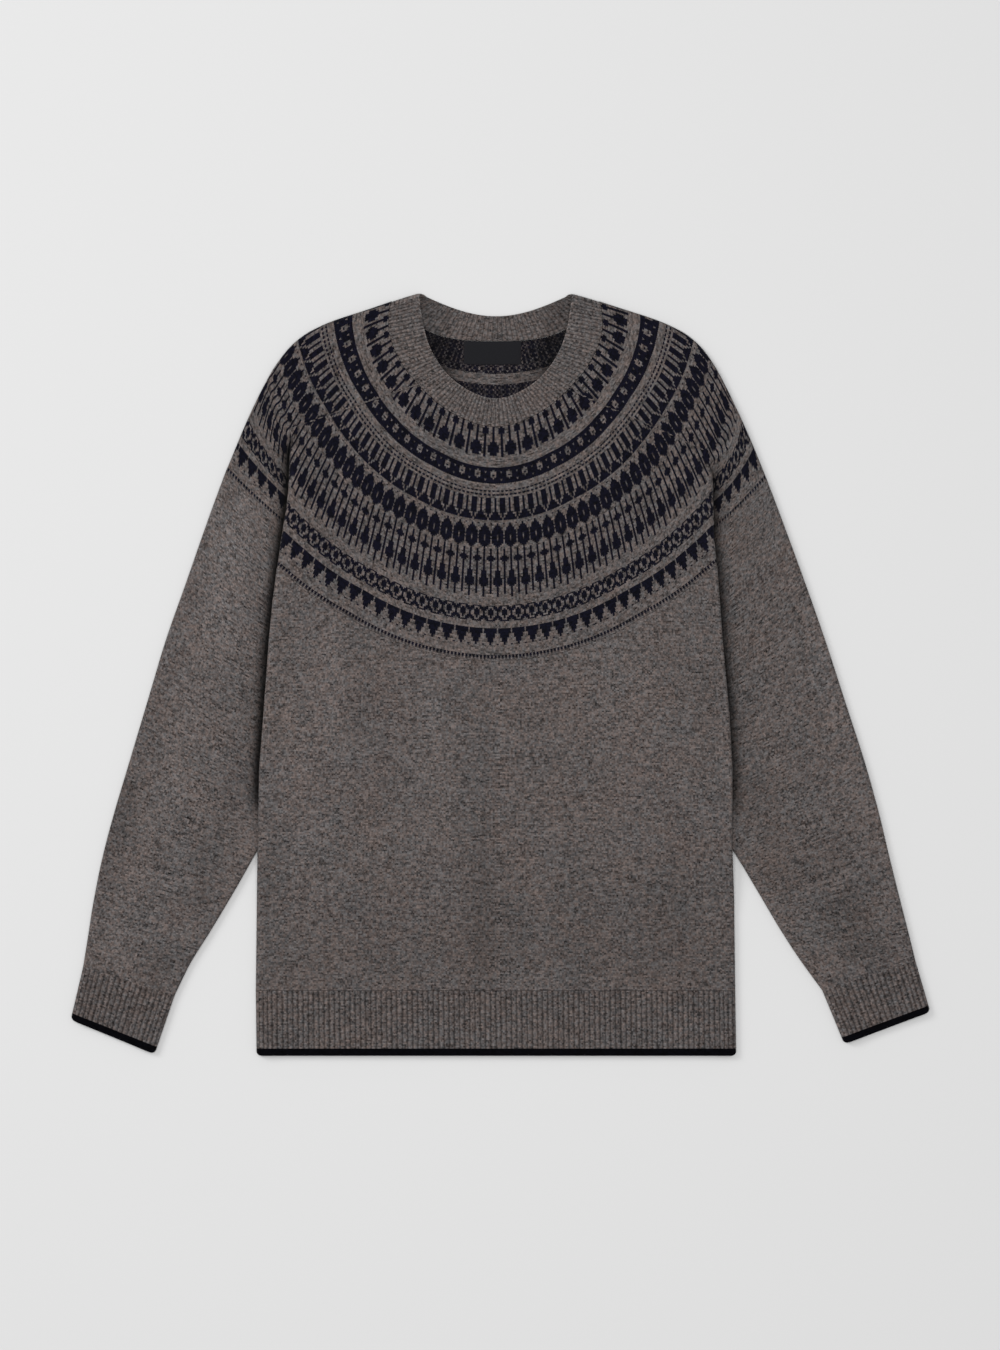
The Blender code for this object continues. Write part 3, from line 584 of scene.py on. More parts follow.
def outline_point(side, drop):
    """The yoke's outline at a drop, rounded at its corners."""
    reach = np.clip(min(drop - NECK_DROP, YOKE_DROP - drop), 0, OUTLINE_SOFTENING)
    places = drop + reach * np.array(SOFTENING_STEPS)
    columns = [side_name(side) + axis for axis in ("_x", "_y")]
    return np.array([
        np.mean(read_table(YOKE_OUTLINE, "drop", column, places)) for column in columns
    ])


@lru_cache(maxsize=None)
def crossing_angle(side, drop):
    """The angle where a round meets the body's edge, or the pleat's top for a round above it."""
    pleat_angle = to_polar(PLEAT_TOP[side])[1]
    above, below = abs(pleat_angle), LOWEST_CROSSING
    for _ in range(CROSSING_STEPS):
        middle = (above + below) / 2
        x, y = from_polar(round_radius(drop, middle), np.array([side * middle]))[0]
        outside = side * (x - body_side(side, y)) > 0
        above, below = (middle, below) if outside else (above, middle)
    return side * (above + below) / 2


def curve_through(start, middle, end, count):
    """Points on the parabola through three plan points."""
    first, second = np.linalg.norm(middle - start), np.linalg.norm(end - middle)
    knot = first / (first + second)
    at = np.linspace(0, 1, count)[:, None]
    return (
        start * (at - knot) * (at - 1) / knot
        + middle * at * (at - 1) / (knot * (knot - 1))
        + end * at * (at - knot) / (1 - knot)
    )


def neckward_of(plan):
    """At each plan point of a path that runs to +X, the direction square to it, to the neck."""
    along = np.gradient(plan, axis=0)
    across = np.column_stack([-along[:, 1], along[:, 0]])
    return across / np.linalg.norm(across, axis=1, keepdims=True)


def fold_points(start, end, outward):
    """The points between two ends of cloth that a half circle joins, bulging outward."""
    centre, reach = (start + end) / 2, (start - end) / 2
    bulge = np.append(outward, 0.0) * np.linalg.norm(reach)
    turns = np.radians(np.linspace(90, -90, 2 * FOLD_STEPS + 1)[1:-1])
    return np.array([centre + reach * math.sin(turn) + bulge * math.cos(turn) for turn in turns])


def inset(plan, ends, amount):
    """The path with its named ends drawn in along itself, to leave room for a fold."""
    along = distances(plan)
    reach = min(INSET_REACH * amount, along[-1] / 2)
    drawn = along.copy()
    if 0 in ends:
        drawn += amount * np.clip(1 - along / reach, 0, 1)
    if -1 in ends:
        drawn -= amount * np.clip(1 - (along[-1] - along) / reach, 0, 1)
    return np.column_stack([np.interp(drawn, along, plan[:, axis]) for axis in (0, 1)])


def loop_of(front, back, wall=WALL, outward=None):
    """One round of flat-laid cloth: front runs to +X, back returns, and half folds join them.

    The folds bulge along the front's ends, or along the two outward ways at +X and at -X. Gives
    the outer and inner points, and the places of the two side folds' middle points.
    """
    front_neckward = neckward_of(front.points[:, :2]) if front.neckward is None else front.neckward
    back_neckward = neckward_of(back.points[::-1, :2])[::-1]
    if outward is None:
        first_outward = unit(front.points[-1, :2] - front.points[-2, :2])
        second_outward = unit(front.points[0, :2] - front.points[1, :2])
    else:
        first_outward, second_outward = outward
    first_fold = fold_points(front.points[-1], back.points[0], first_outward)
    second_fold = fold_points(back.points[-1], front.points[0], second_outward)
    points = np.vstack([front.points, first_fold, back.points, second_fold])
    neckward = np.vstack([
        front_neckward,
        np.repeat(front_neckward[-1:], len(first_fold), axis=0),
        back_neckward,
        np.repeat(front_neckward[:1], len(second_fold), axis=0),
    ])
    tangents = np.roll(points, -1, axis=0) - np.roll(points, 1, axis=0)
    normals = np.cross(tangents, np.column_stack([neckward, np.zeros(len(points))]))
    normals /= np.linalg.norm(normals, axis=1, keepdims=True)
    middle = FOLD_STEPS - 1
    first_middle = len(front.points) + middle
    second_middle = len(front.points) + len(first_fold) + len(back.points) + middle
    outer, inner = points + normals * wall / 2, points - normals * wall / 2
    return outer, inner, (first_middle, second_middle)


def half_of(loop, front):
    """The upper and lower points of a loop's front or back half, from right fold to left."""
    outer, inner, (first, second) = loop
    if front:
        order = np.concatenate([np.arange(second, len(outer)), np.arange(0, first + 1)])
        return outer[order], inner[order]
    order = np.arange(second, first - 1, -1)
    return inner[order], outer[order]


def column_shares():
    """Places across the body from 0 to 1, closer together at its sides, where it is lifted."""
    side = np.linspace(0, SIDE_SHARE, SIDE_COLUMNS + 1)
    middle = np.linspace(SIDE_SHARE, 1 - SIDE_SHARE, MIDDLE_COLUMNS + 1)
    return np.concatenate([side[:-1], middle, 1 - side[-2::-1]])


def round_plan(drop, angles):
    """The plan of a round, brought out to the shoulder's outline past the body's edge."""
    radius = round_radius(drop, angles)
    for side in (-1, 1):
        outline_radius, outline_angle = to_polar(outline_point(side, drop))
        edge_angle = crossing_angle(side, drop)
        share = np.clip((angles - edge_angle) / (outline_angle - edge_angle), 0, 1)
        radius = radius + (outline_radius - round_radius(drop, outline_angle)) * share
    return from_polar(radius, angles)


def sleeve_cap(side, drop, count):
    """A round's plan points over the sleeve, from the shoulder's outline to the pleat's hidden end.

    Gives them with the point on the body's edge, the hidden end and how far the pleat has opened.
    """
    angle = crossing_angle(side, drop)
    outline = outline_point(side, drop)
    flat = round_plan(drop, np.linspace(to_polar(outline)[1], angle, count))
    edge = flat[-1]
    top = np.array(PLEAT_TOP[side])
    down = top[1] - edge[1]
    if down <= 0:
        return flat, edge, edge, 0.0
    y_under = top[1] - PLEAT_SLEEVE * down
    under = np.array([body_side(side, y_under), y_under])
    y_hidden = top[1] - PLEAT_UNDER * down
    hidden = np.array([sleeve_inner_x(side, y_hidden), y_hidden])
    folded = curve_through(outline, under, hidden, count)
    opened = float(pleat_depth(side, edge[1]))
    return flat + (folded - flat) * opened, edge, hidden, opened


def pleat_points(side, cap, edge, hidden, opened, drop):
    """One round through a pleat, from the hidden end over the sleeve to the body's edge."""
    radius, angle = to_polar(edge)
    reach = math.degrees(PLEAT_FLAT_LENGTH / 2 / radius)
    angles = angle + side * np.linspace(reach, -reach, PLEAT_POINTS)
    flat = raised(round_plan(drop, angles), FRONT_HEIGHT)
    if opened == 0.0:
        return flat
    outward = np.array([side, 0.0])
    under_height = FRONT_HEIGHT + PLY_PITCH
    across = edge - hidden
    under_room = unit(across) * min(FOLD_ROOM, PLEAT_ROOM_SHARE * np.linalg.norm(across))
    sleeve_end = np.append(hidden + unit(cap[-2] - cap[-1]) * FOLD_ROOM, FRONT_HEIGHT)
    under_start = np.append(hidden + under_room, under_height)
    under_end = np.append(edge - under_room, under_height)
    along = round_plan(drop, np.array([angle - side]))[0] - edge
    body_start = np.append(edge + unit(along) * FOLD_ROOM, under_height + PLY_PITCH)
    folded = np.vstack([
        sleeve_end,
        fold_points(under_start, sleeve_end, -outward)[::-1],
        under_start,
        (under_start + under_end) / 2,
        under_end,
        fold_points(body_start, under_end, outward)[::-1],
        body_start,
    ])
    return flat + (folded - flat) * opened


def neck_rise(drop):
    """The front of the yoke stands a little higher beside the neckband."""
    return NECK_RISE * (1 - smooth((drop - NECK_DROP) / NECK_RISE_REACH))


def front_round(drop):
    """One round of the yoke's front, from the right shoulder's fold to the left one's."""
    points, neckward, body_angles, openings = {}, {}, {}, {}
    for side in (-1, 1):
        cap, edge, hidden, opened = sleeve_cap(side, drop, CAP_COLUMNS + 1)
        pleat = pleat_points(side, cap, edge, hidden, opened, drop)
        cap_neckward = neckward_of(cap[::-side])[::-side][:-1]
        cap = raised(inset(cap, (0,), FOLD_ROOM), FRONT_HEIGHT)[:-1]
        cap[:, 2] += edge_puff(np.vstack([cap[:, :2], edge]))[:-1]
        points[side] = np.vstack([cap, pleat])[::-side]
        neckward[side] = np.vstack([
            cap_neckward,
            np.repeat(cap_neckward[-1:], len(pleat), axis=0),
        ])[::-side]
        body_angles[side] = to_polar(pleat[-1, :2])[1]
        openings[side] = opened
    shares = column_shares()
    angles = body_angles[-1] + (body_angles[1] - body_angles[-1]) * shares[1:-1]
    middle = round_plan(drop, angles)
    middle = raised(middle, FRONT_HEIGHT + body_lift(middle))
    turn = np.radians(angles)
    middle_neckward = np.column_stack([-np.sin(turn), np.cos(turn)])
    joined = np.vstack([points[-1], middle, points[1]])
    body = slice(len(points[-1]) - 1, len(joined) - len(points[1]) + 1)
    open_share = openings[-1] + (openings[1] - openings[-1]) * shares
    joined[body, 2] += edge_puff(joined[body, :2]) * open_share
    joined[:, 2] += neck_rise(drop)
    return Section(joined, np.vstack([neckward[-1], middle_neckward, neckward[1]]))


def front_top_plan():
    """The plan of the body's upper edge in front, the seam's gap below the yoke."""
    shares = column_shares()
    first, last = crossing_angle(-1, YOKE_DROP), crossing_angle(1, YOKE_DROP)
    angles = first + (last - first) * shares
    return from_polar(round_radius(YOKE_DROP, angles) + SEAM_GAP, angles)


def back_edge_plan():
    """The plan of the yoke's lower edge on the back, from the right outline to the left one.

    Between the two pleats its columns are those of the body.
    """
    caps = {side: sleeve_cap(side, YOKE_DROP, CAP_COLUMNS + 1)[0] for side in (-1, 1)}
    start, end = caps[-1][-1], caps[1][-1]
    centre_back = np.array([YOKE_MIDDLE[0], YOKE_MIDDLE[1] - CENTRE_BACK_DROP])
    curve = curve_through(start, centre_back, end, CURVE_POINTS)
    columns = front_top_plan()[:, 0]
    columns = columns[(columns > start[0]) & (columns < end[0])]
    centre = np.column_stack([columns, np.interp(columns, curve[:, 0], curve[:, 1])])
    return np.vstack([caps[-1], centre, caps[1][::-1]])


def back_seam_plan(shares):
    """The plan of the back neck seam, from the right outline to the left one."""
    right, left = outline_point(-1, NECK_DROP), outline_point(1, NECK_DROP)
    dip = BACK_SEAM_DIP * (1 - np.abs(2 * shares - 1) ** BACK_SEAM_POWER)
    return right + (left - right) * shares[:, None] - dip[:, None] * (0, 1)


def back_round(drop):
    """One round of the yoke's back, read between its neck seam, its lower edge and the outline."""
    low = back_edge_plan()
    shares = distances(low) / distances(low)[-1]
    depth = (drop - NECK_DROP) / (YOKE_DROP - NECK_DROP)
    plan = back_seam_plan(shares) * (1 - depth) + low * depth
    right_move = outline_point(-1, drop) - plan[0]
    left_move = outline_point(1, drop) - plan[-1]
    near_right = np.clip(1 - 2 * shares, 0, 1)[:, None] ** BACK_ROUND_EASE
    near_left = np.clip(2 * shares - 1, 0, 1)[:, None] ** BACK_ROUND_EASE
    plan += near_right * right_move + near_left * left_move
    return Section(raised(inset(plan, (0, -1), FOLD_ROOM), BACK_HEIGHT)[::-1])


def back_top_plan(columns_x):
    """The plan of the body's upper edge on the back, over the sleeves and below the yoke."""
    edge = back_edge_plan()[CAP_COLUMNS:-CAP_COLUMNS]
    ends = [sleeve_cap(side, YOKE_DROP, 2)[1] for side in (-1, 1)]
    edge = np.vstack([ends[0], edge, ends[1]])
    edge = edge - neckward_of(edge) * SEAM_GAP
    return np.column_stack([columns_x, np.interp(columns_x, edge[:, 0], edge[:, 1])])


def body_plan(top, share):
    """The plan of a section across the body, part of the way from its upper edge to the hem."""
    ys = top[:, 1] + (HEM_TOP + SEAM_GAP - top[:, 1]) * share
    right, left = body_side(-1, ys[0]), body_side(1, ys[-1])
    across = (top[:, 0] - top[0, 0]) / (top[-1, 0] - top[0, 0])
    return np.column_stack([right + (left - right) * across, ys])


def shifted(line, towards, amount):
    """A plan line moved by an amount in the direction of another line."""
    line, towards = np.array(line), np.array(towards)
    return line + unit(towards.mean(axis=0) - line.mean(axis=0)) * amount


def ridge_height(ridges, plan):
    """How high the ridges stand at plan points."""
    total = np.zeros(len(plan))
    for ridge in ridges:
        start = np.array([ridge.start_x, ridge.start_y])
        reach = np.array([ridge.end_x, ridge.end_y]) - start
        along = (plan - start) @ reach / (reach @ reach)
        nearest = start + np.clip(along, 0, 1)[:, None] * reach
        away = np.linalg.norm(plan - nearest, axis=1) / ridge.width
        fade = smooth(np.minimum(along, 1 - along) / RIDGE_FADE + 1.0)
        total += ridge.height * fade * np.exp(-away**2)
    return total


def creased(points):
    """The points lifted by ridges: the upper layers by one set, the floor layer by another."""
    points = np.array(points)
    height = ridge_height(RIDGES, points[:, :2])
    floor_height = ridge_height(FLOOR_RIDGES, points[:, :2])
    upper = smooth((points[:, 2] - WALL / 2) / PLY_PITCH)
    points[:, 2] += floor_height + (height - floor_height) * upper
    return points


def painted_light_and_shade_at(points):
    """The painted light and shade at points: the broad painted light and shade, painted shade in
    the armholes' creases below the body's edge, and a painted light rim along that edge.
    """
    tone = ridge_height(PAINTED_LIGHT_AND_SHADE, points[:, :2])
    upper = smooth((points[:, 2] - FRONT_HEIGHT - WALL) / PLY_PITCH)
    for side in (-1, 1):
        outside = side * (points[:, 0] - body_side(side, points[:, 1]))
        shown = pleat_depth(side, points[:, 1])
        shown = shown * smooth((points[:, 1] - ARMHOLE_BOTTOM) / ARMHOLE_FADE)
        away = np.clip(outside, 0, None)
        # Painted shade in the crease on the lower layers, and a painted light rim on the body's
        # edge above it
        painted_crease_shade = ARMHOLE_PAINTED_SHADE[side] * np.exp(-((away / ARMHOLE_REACH) ** 2))
        painted_crease_shade += ARMHOLE_SOFT_PAINTED_SHADE * np.exp(-away / ARMHOLE_SOFT_REACH)
        painted_rim_highlight = BODY_RIM_PAINTED_HIGHLIGHT * np.exp(-((outside + BODY_RIM_WIDTH) / BODY_RIM_WIDTH) ** 2)
        near = smooth((outside + ARMHOLE_HIDDEN) / (ARMHOLE_HIDDEN / 2))
        tone += shown * near * (painted_crease_shade * (1 - upper) + painted_rim_highlight * upper)
    return np.maximum(tone, DARKEST_PAINTED_SHADE)


def middle_distance(points, x):
    """How far along a line its middle stretch passes a place in X."""
    span = slice(len(points) // 4, -(len(points) // 4))
    return np.interp(x, points[span, 0], distances(points)[span])


def at_distances(points, wanted):
    """The points at distances along a line."""
    along = distances(points)
    return np.column_stack([np.interp(wanted, along, points[:, axis]) for axis in range(3)])


class Cloth:
    """The lines and faces of one knitted piece, with stitch places and yarns at each corner."""

    def __init__(self):
        self.points, self.tones, self.faces, self.stitches, self.yarns = [], [], [], [], []

    def line(self, points, across, wales, courses, shade=0.0):
        """Adds a line of points, creased and with painted light and shade, with its places across
        and in the stitches; shade adds painted shade, or painted highlight where it is below 0.
        """
        ids = range(len(self.points), len(self.points) + len(points))
        self.points.extend(creased(points).tolist())
        self.tones.extend((painted_light_and_shade_at(np.asarray(points)) - shade).tolist())
        courses = np.broadcast_to(courses, len(points)).tolist()
        return Line(ids, np.asarray(across).tolist(), np.asarray(wales).tolist(), courses)

    def weave(self, first, second, yarns=None, turned=False):
        """Joins two lines, four-sided where both have a point at the same place, else three-sided.

        yarns gives the navy in each stitch of a round and in the round after it.
        """
        one, other = 0, 0
        ends = len(first.ids) - 1, len(second.ids) - 1
        while (one, other) != ends:
            next_one = first.across[one + 1] if one < ends[0] else math.inf
            next_other = second.across[other + 1] if other < ends[1] else math.inf
            corners = [(first, one), (second, other)]
            if next_other < next_one + SAME_PLACE:
                other += 1
                corners.append((second, other))
            if next_one < next_other + SAME_PLACE or next_other == math.inf:
                one += 1
                corners.append((first, one))
            self.add_face(corners, yarns, turned)

    def add_face(self, corners, yarns, turned):
        """Adds a face; its corners hold the navy of its stitch, the one below and one beside."""
        places = [(line.wales[at], line.courses[at]) for line, at in corners]
        shown = [(0.0, 0.0, 0.0)] * len(corners)
        if yarns:
            middle = sum(place[0] for place in places) / len(places)
            wale = math.floor(middle)
            here = tuple(stitches[wale % len(stitches)] for stitches in yarns)
            beside = [wale + (1 if place[0] > middle else -1) for place in places]
            shown = [(*here, yarns[0][at % len(yarns[0])]) for at in beside]
        order = -1 if turned else 1
        self.faces.append([line.ids[at] for line, at in corners][::order])
        self.stitches.extend(places[::order])
        self.yarns.extend(shown[::order])

    def close(self, upper, lower, tube=False):
        """Joins the edges of an upper and a lower sheet; a tube has none at its sides."""
        self.weave(lower[0], upper[0])
        self.weave(upper[-1], lower[-1])
        if not tube:
            self.weave(end_line(upper, 0), end_line(lower, 0))
            self.weave(end_line(lower, -1), end_line(upper, -1))

    def wall(self, upper, lower, tube=False):
        """A closed wall between an upper and a lower sheet of lines."""
        for lines, turned in ((upper, False), (lower, True)):
            for first, second in zip(lines, lines[1:]):
                self.weave(first, second, turned=turned)
        self.close(upper, lower, tube)

    def make(self, name, finish):
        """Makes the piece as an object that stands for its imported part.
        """
        mesh = bpy.data.meshes.new(name)
        mesh.from_pydata(self.points, [], self.faces)
        mesh.uv_layers.new(name="stitches").data.foreach_set("uv", np.ravel(self.stitches))
        for column, label in enumerate(("navy", "navy_next", "navy_beside")):
            layer = mesh.attributes.new(label, "FLOAT", "CORNER")
            layer.data.foreach_set("value", np.array(self.yarns)[:, column])
        # The tone attribute holds each point's painted light and shade
        mesh.attributes.new("tone", "FLOAT", "POINT").data.foreach_set("value", self.tones)
        edit = bmesh.new()
        edit.from_mesh(mesh)
        bmesh.ops.remove_doubles(edit, verts=edit.verts, dist=SAME_PLACE)
        bmesh.ops.dissolve_degenerate(edit, edges=edit.edges, dist=SAME_PLACE)
        for face in edit.faces:
            face.smooth = True
        for edge in edit.edges:
            edge.smooth = edge.calc_face_angle(0.0) < SHARP_EDGE
        edit.to_mesh(mesh)
        edit.free()
        mesh.materials.append(finish)
        piece = bpy.data.objects.new(name, mesh)
        bpy.context.scene.collection.objects.link(piece)
        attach(piece, "root")
        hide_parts(name.removesuffix("_cloth"))
        return piece


def end_line(lines, end):
    """The line down one end of a sheet's lines."""
    courses = [line.courses[end] for line in lines]
    wales = [line.wales[end] for line in lines]
    return Line([line.ids[end] for line in lines], courses, wales, courses)


@lru_cache(maxsize=None)
def yoke_loop(drop):
    """One round of the yoke, front and back."""
    return loop_of(front_round(drop), back_round(drop))


def pleat_distances(points, side):
    """How far from centre front the body's edge, the pleat's hidden end and the shoulder are."""
    hidden = FOLD_STEPS + CAP_COLUMNS
    marks = np.array([hidden + PLEAT_POINTS - 1, hidden, 0])
    if side > 0:
        marks = len(points) - 1 - marks
    return np.abs(distances(points)[marks] - middle_distance(points, YOKE_MIDDLE[0]))


@lru_cache(maxsize=None)
def wale_reach(side):
    """The length that a round's wales share on one side, smooth from round to round."""
    drops = np.linspace(NECK_DROP, YOKE_DROP, REACH_SAMPLES)
    folds = [pleat_distances(half_of(yoke_loop(float(drop)), True)[0], side)[-1] for drop in drops]
    return np.polynomial.Polynomial.fit(drops, folds, REACH_DEGREE)


def front_places(points, drop, side):
    """Shares of a side's wales with their distances from centre front.

    An open pleat takes up odd lengths.
    """
    edge, hidden, fold = pleat_distances(points, side)
    reach = wale_reach(side)(drop)
    opened = sleeve_cap(side, drop, 2)[3]
    last = 1 + (1 - opened) * (fold / reach - 1)
    return (0.0, edge / reach, last - (fold - hidden) / reach, last), (0.0, edge, hidden, fold)


def stitch_points(points, drop, front, wales, phase):
    """The shares of a round where its stitches meet, with its two ends, and the points there."""
    centre, length = middle_distance(points, YOKE_MIDDLE[0]), distances(points)[-1]
    if front:
        places = {side: front_places(points, drop, side) for side in (-1, 1)}
    else:
        places = {-1: ((0.0, 1.0), (0.0, centre)), 1: ((0.0, 1.0), (0.0, length - centre))}
    first, last = -places[-1][0][-1], places[1][0][-1]
    inner = (np.arange(math.ceil(phase - 2 * wales), math.floor(phase + 2 * wales)) - phase) / wales
    inner = inner[(inner > first + END_STITCH / wales) & (inner < last - END_STITCH / wales)]
    shares = np.concatenate([[first], inner, [last]])
    wanted = np.full(len(shares), centre)
    for side, (known, known_distances) in places.items():
        wanted += side * np.interp(side * shares, known, known_distances)
    return shares, at_distances(points, wanted)


def outside_navy(rounds):
    """The navy in each stitch of a band's rounds."""
    return [[YARNS[stitch] for stitch in stitches] for stitches in rounds]


def inside_navy(rounds):
    """The navy inside a band's rounds, where each yarn floats behind the other's stitches."""
    navy = []
    for at, stitches in enumerate(rounds):
        here = np.array([float(stitch == "X") for stitch in stitches])
        wales = np.arange(len(here))
        first, second, third = FLOAT_WAVES
        wave = np.sin(first * at * at + second * wales + third * wales * wales)
        floats = (1 - FLOAT_MOTTLE * wave**FLOAT_MOTTLE_POWER).tolist()
        navy.append(floats if here.any() else [0.0] * len(here))
    return navy


def knit_bands(cloth, front, upper, last_drop, turned, inside=False):
    """A sheet of patterned bands with a face to each stitch, down to a drop; gives its lines.

    Each band has its own count of stitches, and its last round joins the next band's count.
    """
    lines, start, course = [], NECK_DROP, 0
    bands = [band for band in YOKE_BANDS if band.drop <= last_drop]
    for place, band in enumerate(bands):
        after = bands[min(place + 1, len(bands) - 1)]
        counts = [(each.front_wales if front else each.back_wales) for each in (band, after)]
        rounds = [stitches for count, stitches in band.rounds for _ in range(count)]
        navy = inside_navy(rounds) if inside else outside_navy(rounds)
        drops = np.linspace(start, band.drop, len(rounds) + 1)
        for step, drop in enumerate(drops):
            last = step == len(rounds)
            wales, phase = (counts[1], after.phase) if last else (counts[0], band.phase)
            if step or not lines:
                points = half_of(yoke_loop(float(drop)), front)[0 if upper else 1]
                shares, points = stitch_points(points, float(drop), front, wales, phase)
                places = shares * counts[0] + band.phase
                # The inside gets painted shade, more towards its sides
                away = np.abs(points[:, 0] - YOKE_MIDDLE[0])
                painted_side_shade_share = smooth((away - INSIDE_SHADE_START) / INSIDE_SHADE_REACH)
                shade = inside * (INSIDE_PAINTED_SHADE + INSIDE_SIDE_PAINTED_SHADE * painted_side_shade_share)
                lines.append(cloth.line(points, shares, places, course + step, shade))
            if step:
                below = [0.0] if last else navy[step]
                cloth.weave(lines[-2], lines[-1], (navy[step - 1], below), turned)
        wales = [share * counts[1] + after.phase for share in lines[-1].across]
        lines[-1] = lines[-1]._replace(wales=wales)
        start, course = band.drop, course + len(rounds)
    return lines


def lining_lines(cloth, front, upper, first_drop):
    """The coarser lines of a yoke sheet that lies between layers."""
    drops = [NECK_DROP] + [band.drop for band in YOKE_BANDS]
    courses = np.cumsum([0] + [sum(count for count, _ in band.rounds) for band in YOKE_BANDS])
    lines = []
    rows = math.ceil((YOKE_DROP - first_drop) / LINING_ROW)
    for drop in np.linspace(first_drop, YOKE_DROP, rows + 1):
        points = half_of(yoke_loop(float(drop)), front)[0 if upper else 1]
        centre = middle_distance(points, YOKE_MIDDLE[0])
        along = distances(points) - centre
        across = along / np.where(along < 0, centre, along[-1])
        lines.append(cloth.line(points, across, along / WALE, np.interp(drop, drops, courses)))
    return lines


def make_yoke(finish):
    """The yoke's front and back, both knitted in bands on their outer sides."""
    front = Cloth()
    upper = knit_bands(front, True, True, YOKE_DROP, False)
    lower = lining_lines(front, True, False, NECK_DROP)
    for first, second in zip(lower, lower[1:]):
        front.weave(first, second, turned=True)
    front.close(upper, lower)
    front.make("yoke_front_cloth", finish)

    back = Cloth()
    lower = knit_bands(back, False, False, YOKE_DROP, True)
    upper = knit_bands(back, False, True, INSIDE_SHOWS_TO, False, inside=True)
    hidden = lining_lines(back, False, True, INSIDE_SHOWS_TO)
    for first, second in zip([upper[-1]] + hidden[1:], hidden[1:]):
        back.weave(first, second)
    back.close(upper + hidden[1:], lower)
    back.make("yoke_back_cloth", finish)


def knit_lines(cloth, loops, courses_of):
    """The outer and inner lines of rounds of plain knitting, their wales counted from centre."""
    upper, lower = [], []
    for points_pair in loops:
        for points, lines in zip(points_pair, (upper, lower)):
            along = distances(points)
            wales = (along - middle_distance(points, 0.0)) / WALE
            lines.append(cloth.line(points, along / along[-1], wales, courses_of(points)))
    return upper, lower


def make_body(finish):
    """The body's front and back, lifted at the sides where the sleeves pass under them."""
    front_top = front_top_plan()
    back_top = back_top_plan(front_top[:, 0])
    joined = body_plan(front_top, BACK_MEETS_FRONT)
    loops = []
    for share in np.linspace(0, 1, BODY_ROWS + 1):
        front = inset(body_plan(front_top, share), (0, -1), FOLD_ROOM)
        depth = min(share / BACK_MEETS_FRONT, 1.0)
        back = body_plan(front_top, share)
        if depth < 1.0:
            back = back_top + (joined - back_top) * depth
        back = inset(back, (0, -1), FOLD_ROOM)
        front = raised(front, FRONT_HEIGHT + body_lift(front) + edge_puff(front))
        back = raised(back, BACK_HEIGHT + body_lift(back))
        loops.append(loop_of(Section(front), Section(back[::-1]), WALL, BODY_FOLDS_OUTWARD))
    cuts = {"body_front": BODY_FRONT_CUT, "body_back": BODY_BACK_CUT}
    for node in cuts:
        cloth = Cloth()
        halves = [half_of(loop, node == "body_front") for loop in loops]
        upper, lower = knit_lines(cloth, halves, lambda points: -points[:, 1] / COURSE)
        cloth.wall(upper, lower)
        cloth.make(node + "_cloth", finish)


def sleeve_corners(side, place):
    """A sleeve's outer and inner corner, from place 0 at the yoke to 1 at the cuff.

    They lie on smooth curves through the corners of its rings.
    """
    rings = np.array(SLEEVE_RINGS[side])
    at = place * (len(rings) - 1)
    first = min(int(at), len(rings) - 2)
    t = at - first
    before, after = rings[max(first - 1, 0)], rings[min(first + 2, len(rings) - 1)]
    start, end = rings[first], rings[first + 1]
    corner = 0.5 * (
        2 * start + (end - before) * t + (2 * before - 5 * start + 4 * end - after) * t**2
        + (3 * start - before - 3 * end + after) * t**3
    )
    return corner[:2], corner[2:]


def sleeve_loop(side, place):
    """One round of a sleeve; near the yoke it follows the curve of the yoke's edge."""
    outer, hidden = sleeve_corners(side, place)
    shares = np.linspace(0, 1, CAP_COLUMNS + 1)[:, None]
    cap = sleeve_cap(side, YOKE_DROP, CAP_COLUMNS + 1)[0]
    bend = cap - (cap[0] + (cap[-1] - cap[0]) * shares)
    bow = max(0.0, 1 - place / SLEEVE_BOW_SHARE)
    plan = (outer + (hidden - outer) * shares + bend * bow)[::-side]
    shown = smooth((abs(hidden[0]) - abs(body_side(side, hidden[1]))) / SLEEVE_SHOWN_REACH)
    plan = inset(plan, (0, -1), FOLD_ROOM)
    puff = edge_puff(plan) * np.linspace(1, shown, len(plan))[::-side]
    front, back = raised(plan, FRONT_HEIGHT + puff), raised(plan[::-1], BACK_HEIGHT)
    return loop_of(Section(front), Section(back))


def joined_up(points):
    """A closed round with its first point again at its end."""
    return np.vstack([points, points[:1]])


def make_sleeves(finish):
    """Both sleeves, as flat-laid tubes that pass under the body's sides."""
    for side in (-1, 1):
        cloth = Cloth()
        upper, lower = [], []
        course = 0.0
        before = None
        for place in np.linspace(0, 1, SLEEVE_ROWS + 1):
            outer, inner, _ = sleeve_loop(side, place)
            middle = outer[:CAP_COLUMNS].mean(axis=0)
            course += 0.0 if before is None else np.linalg.norm(middle - before) / COURSE
            before = middle
            for points, lines in ((outer, upper), (inner, lower)):
                points = joined_up(points)
                along = distances(points)
                wales = (along - along[CAP_COLUMNS // 2]) / WALE
                lines.append(cloth.line(points, along / along[-1], wales, course))
        cloth.wall(upper, lower, tube=True)
        name = "sleeve_" + side_name(side)
        cloth.make(name + "_cloth", finish)


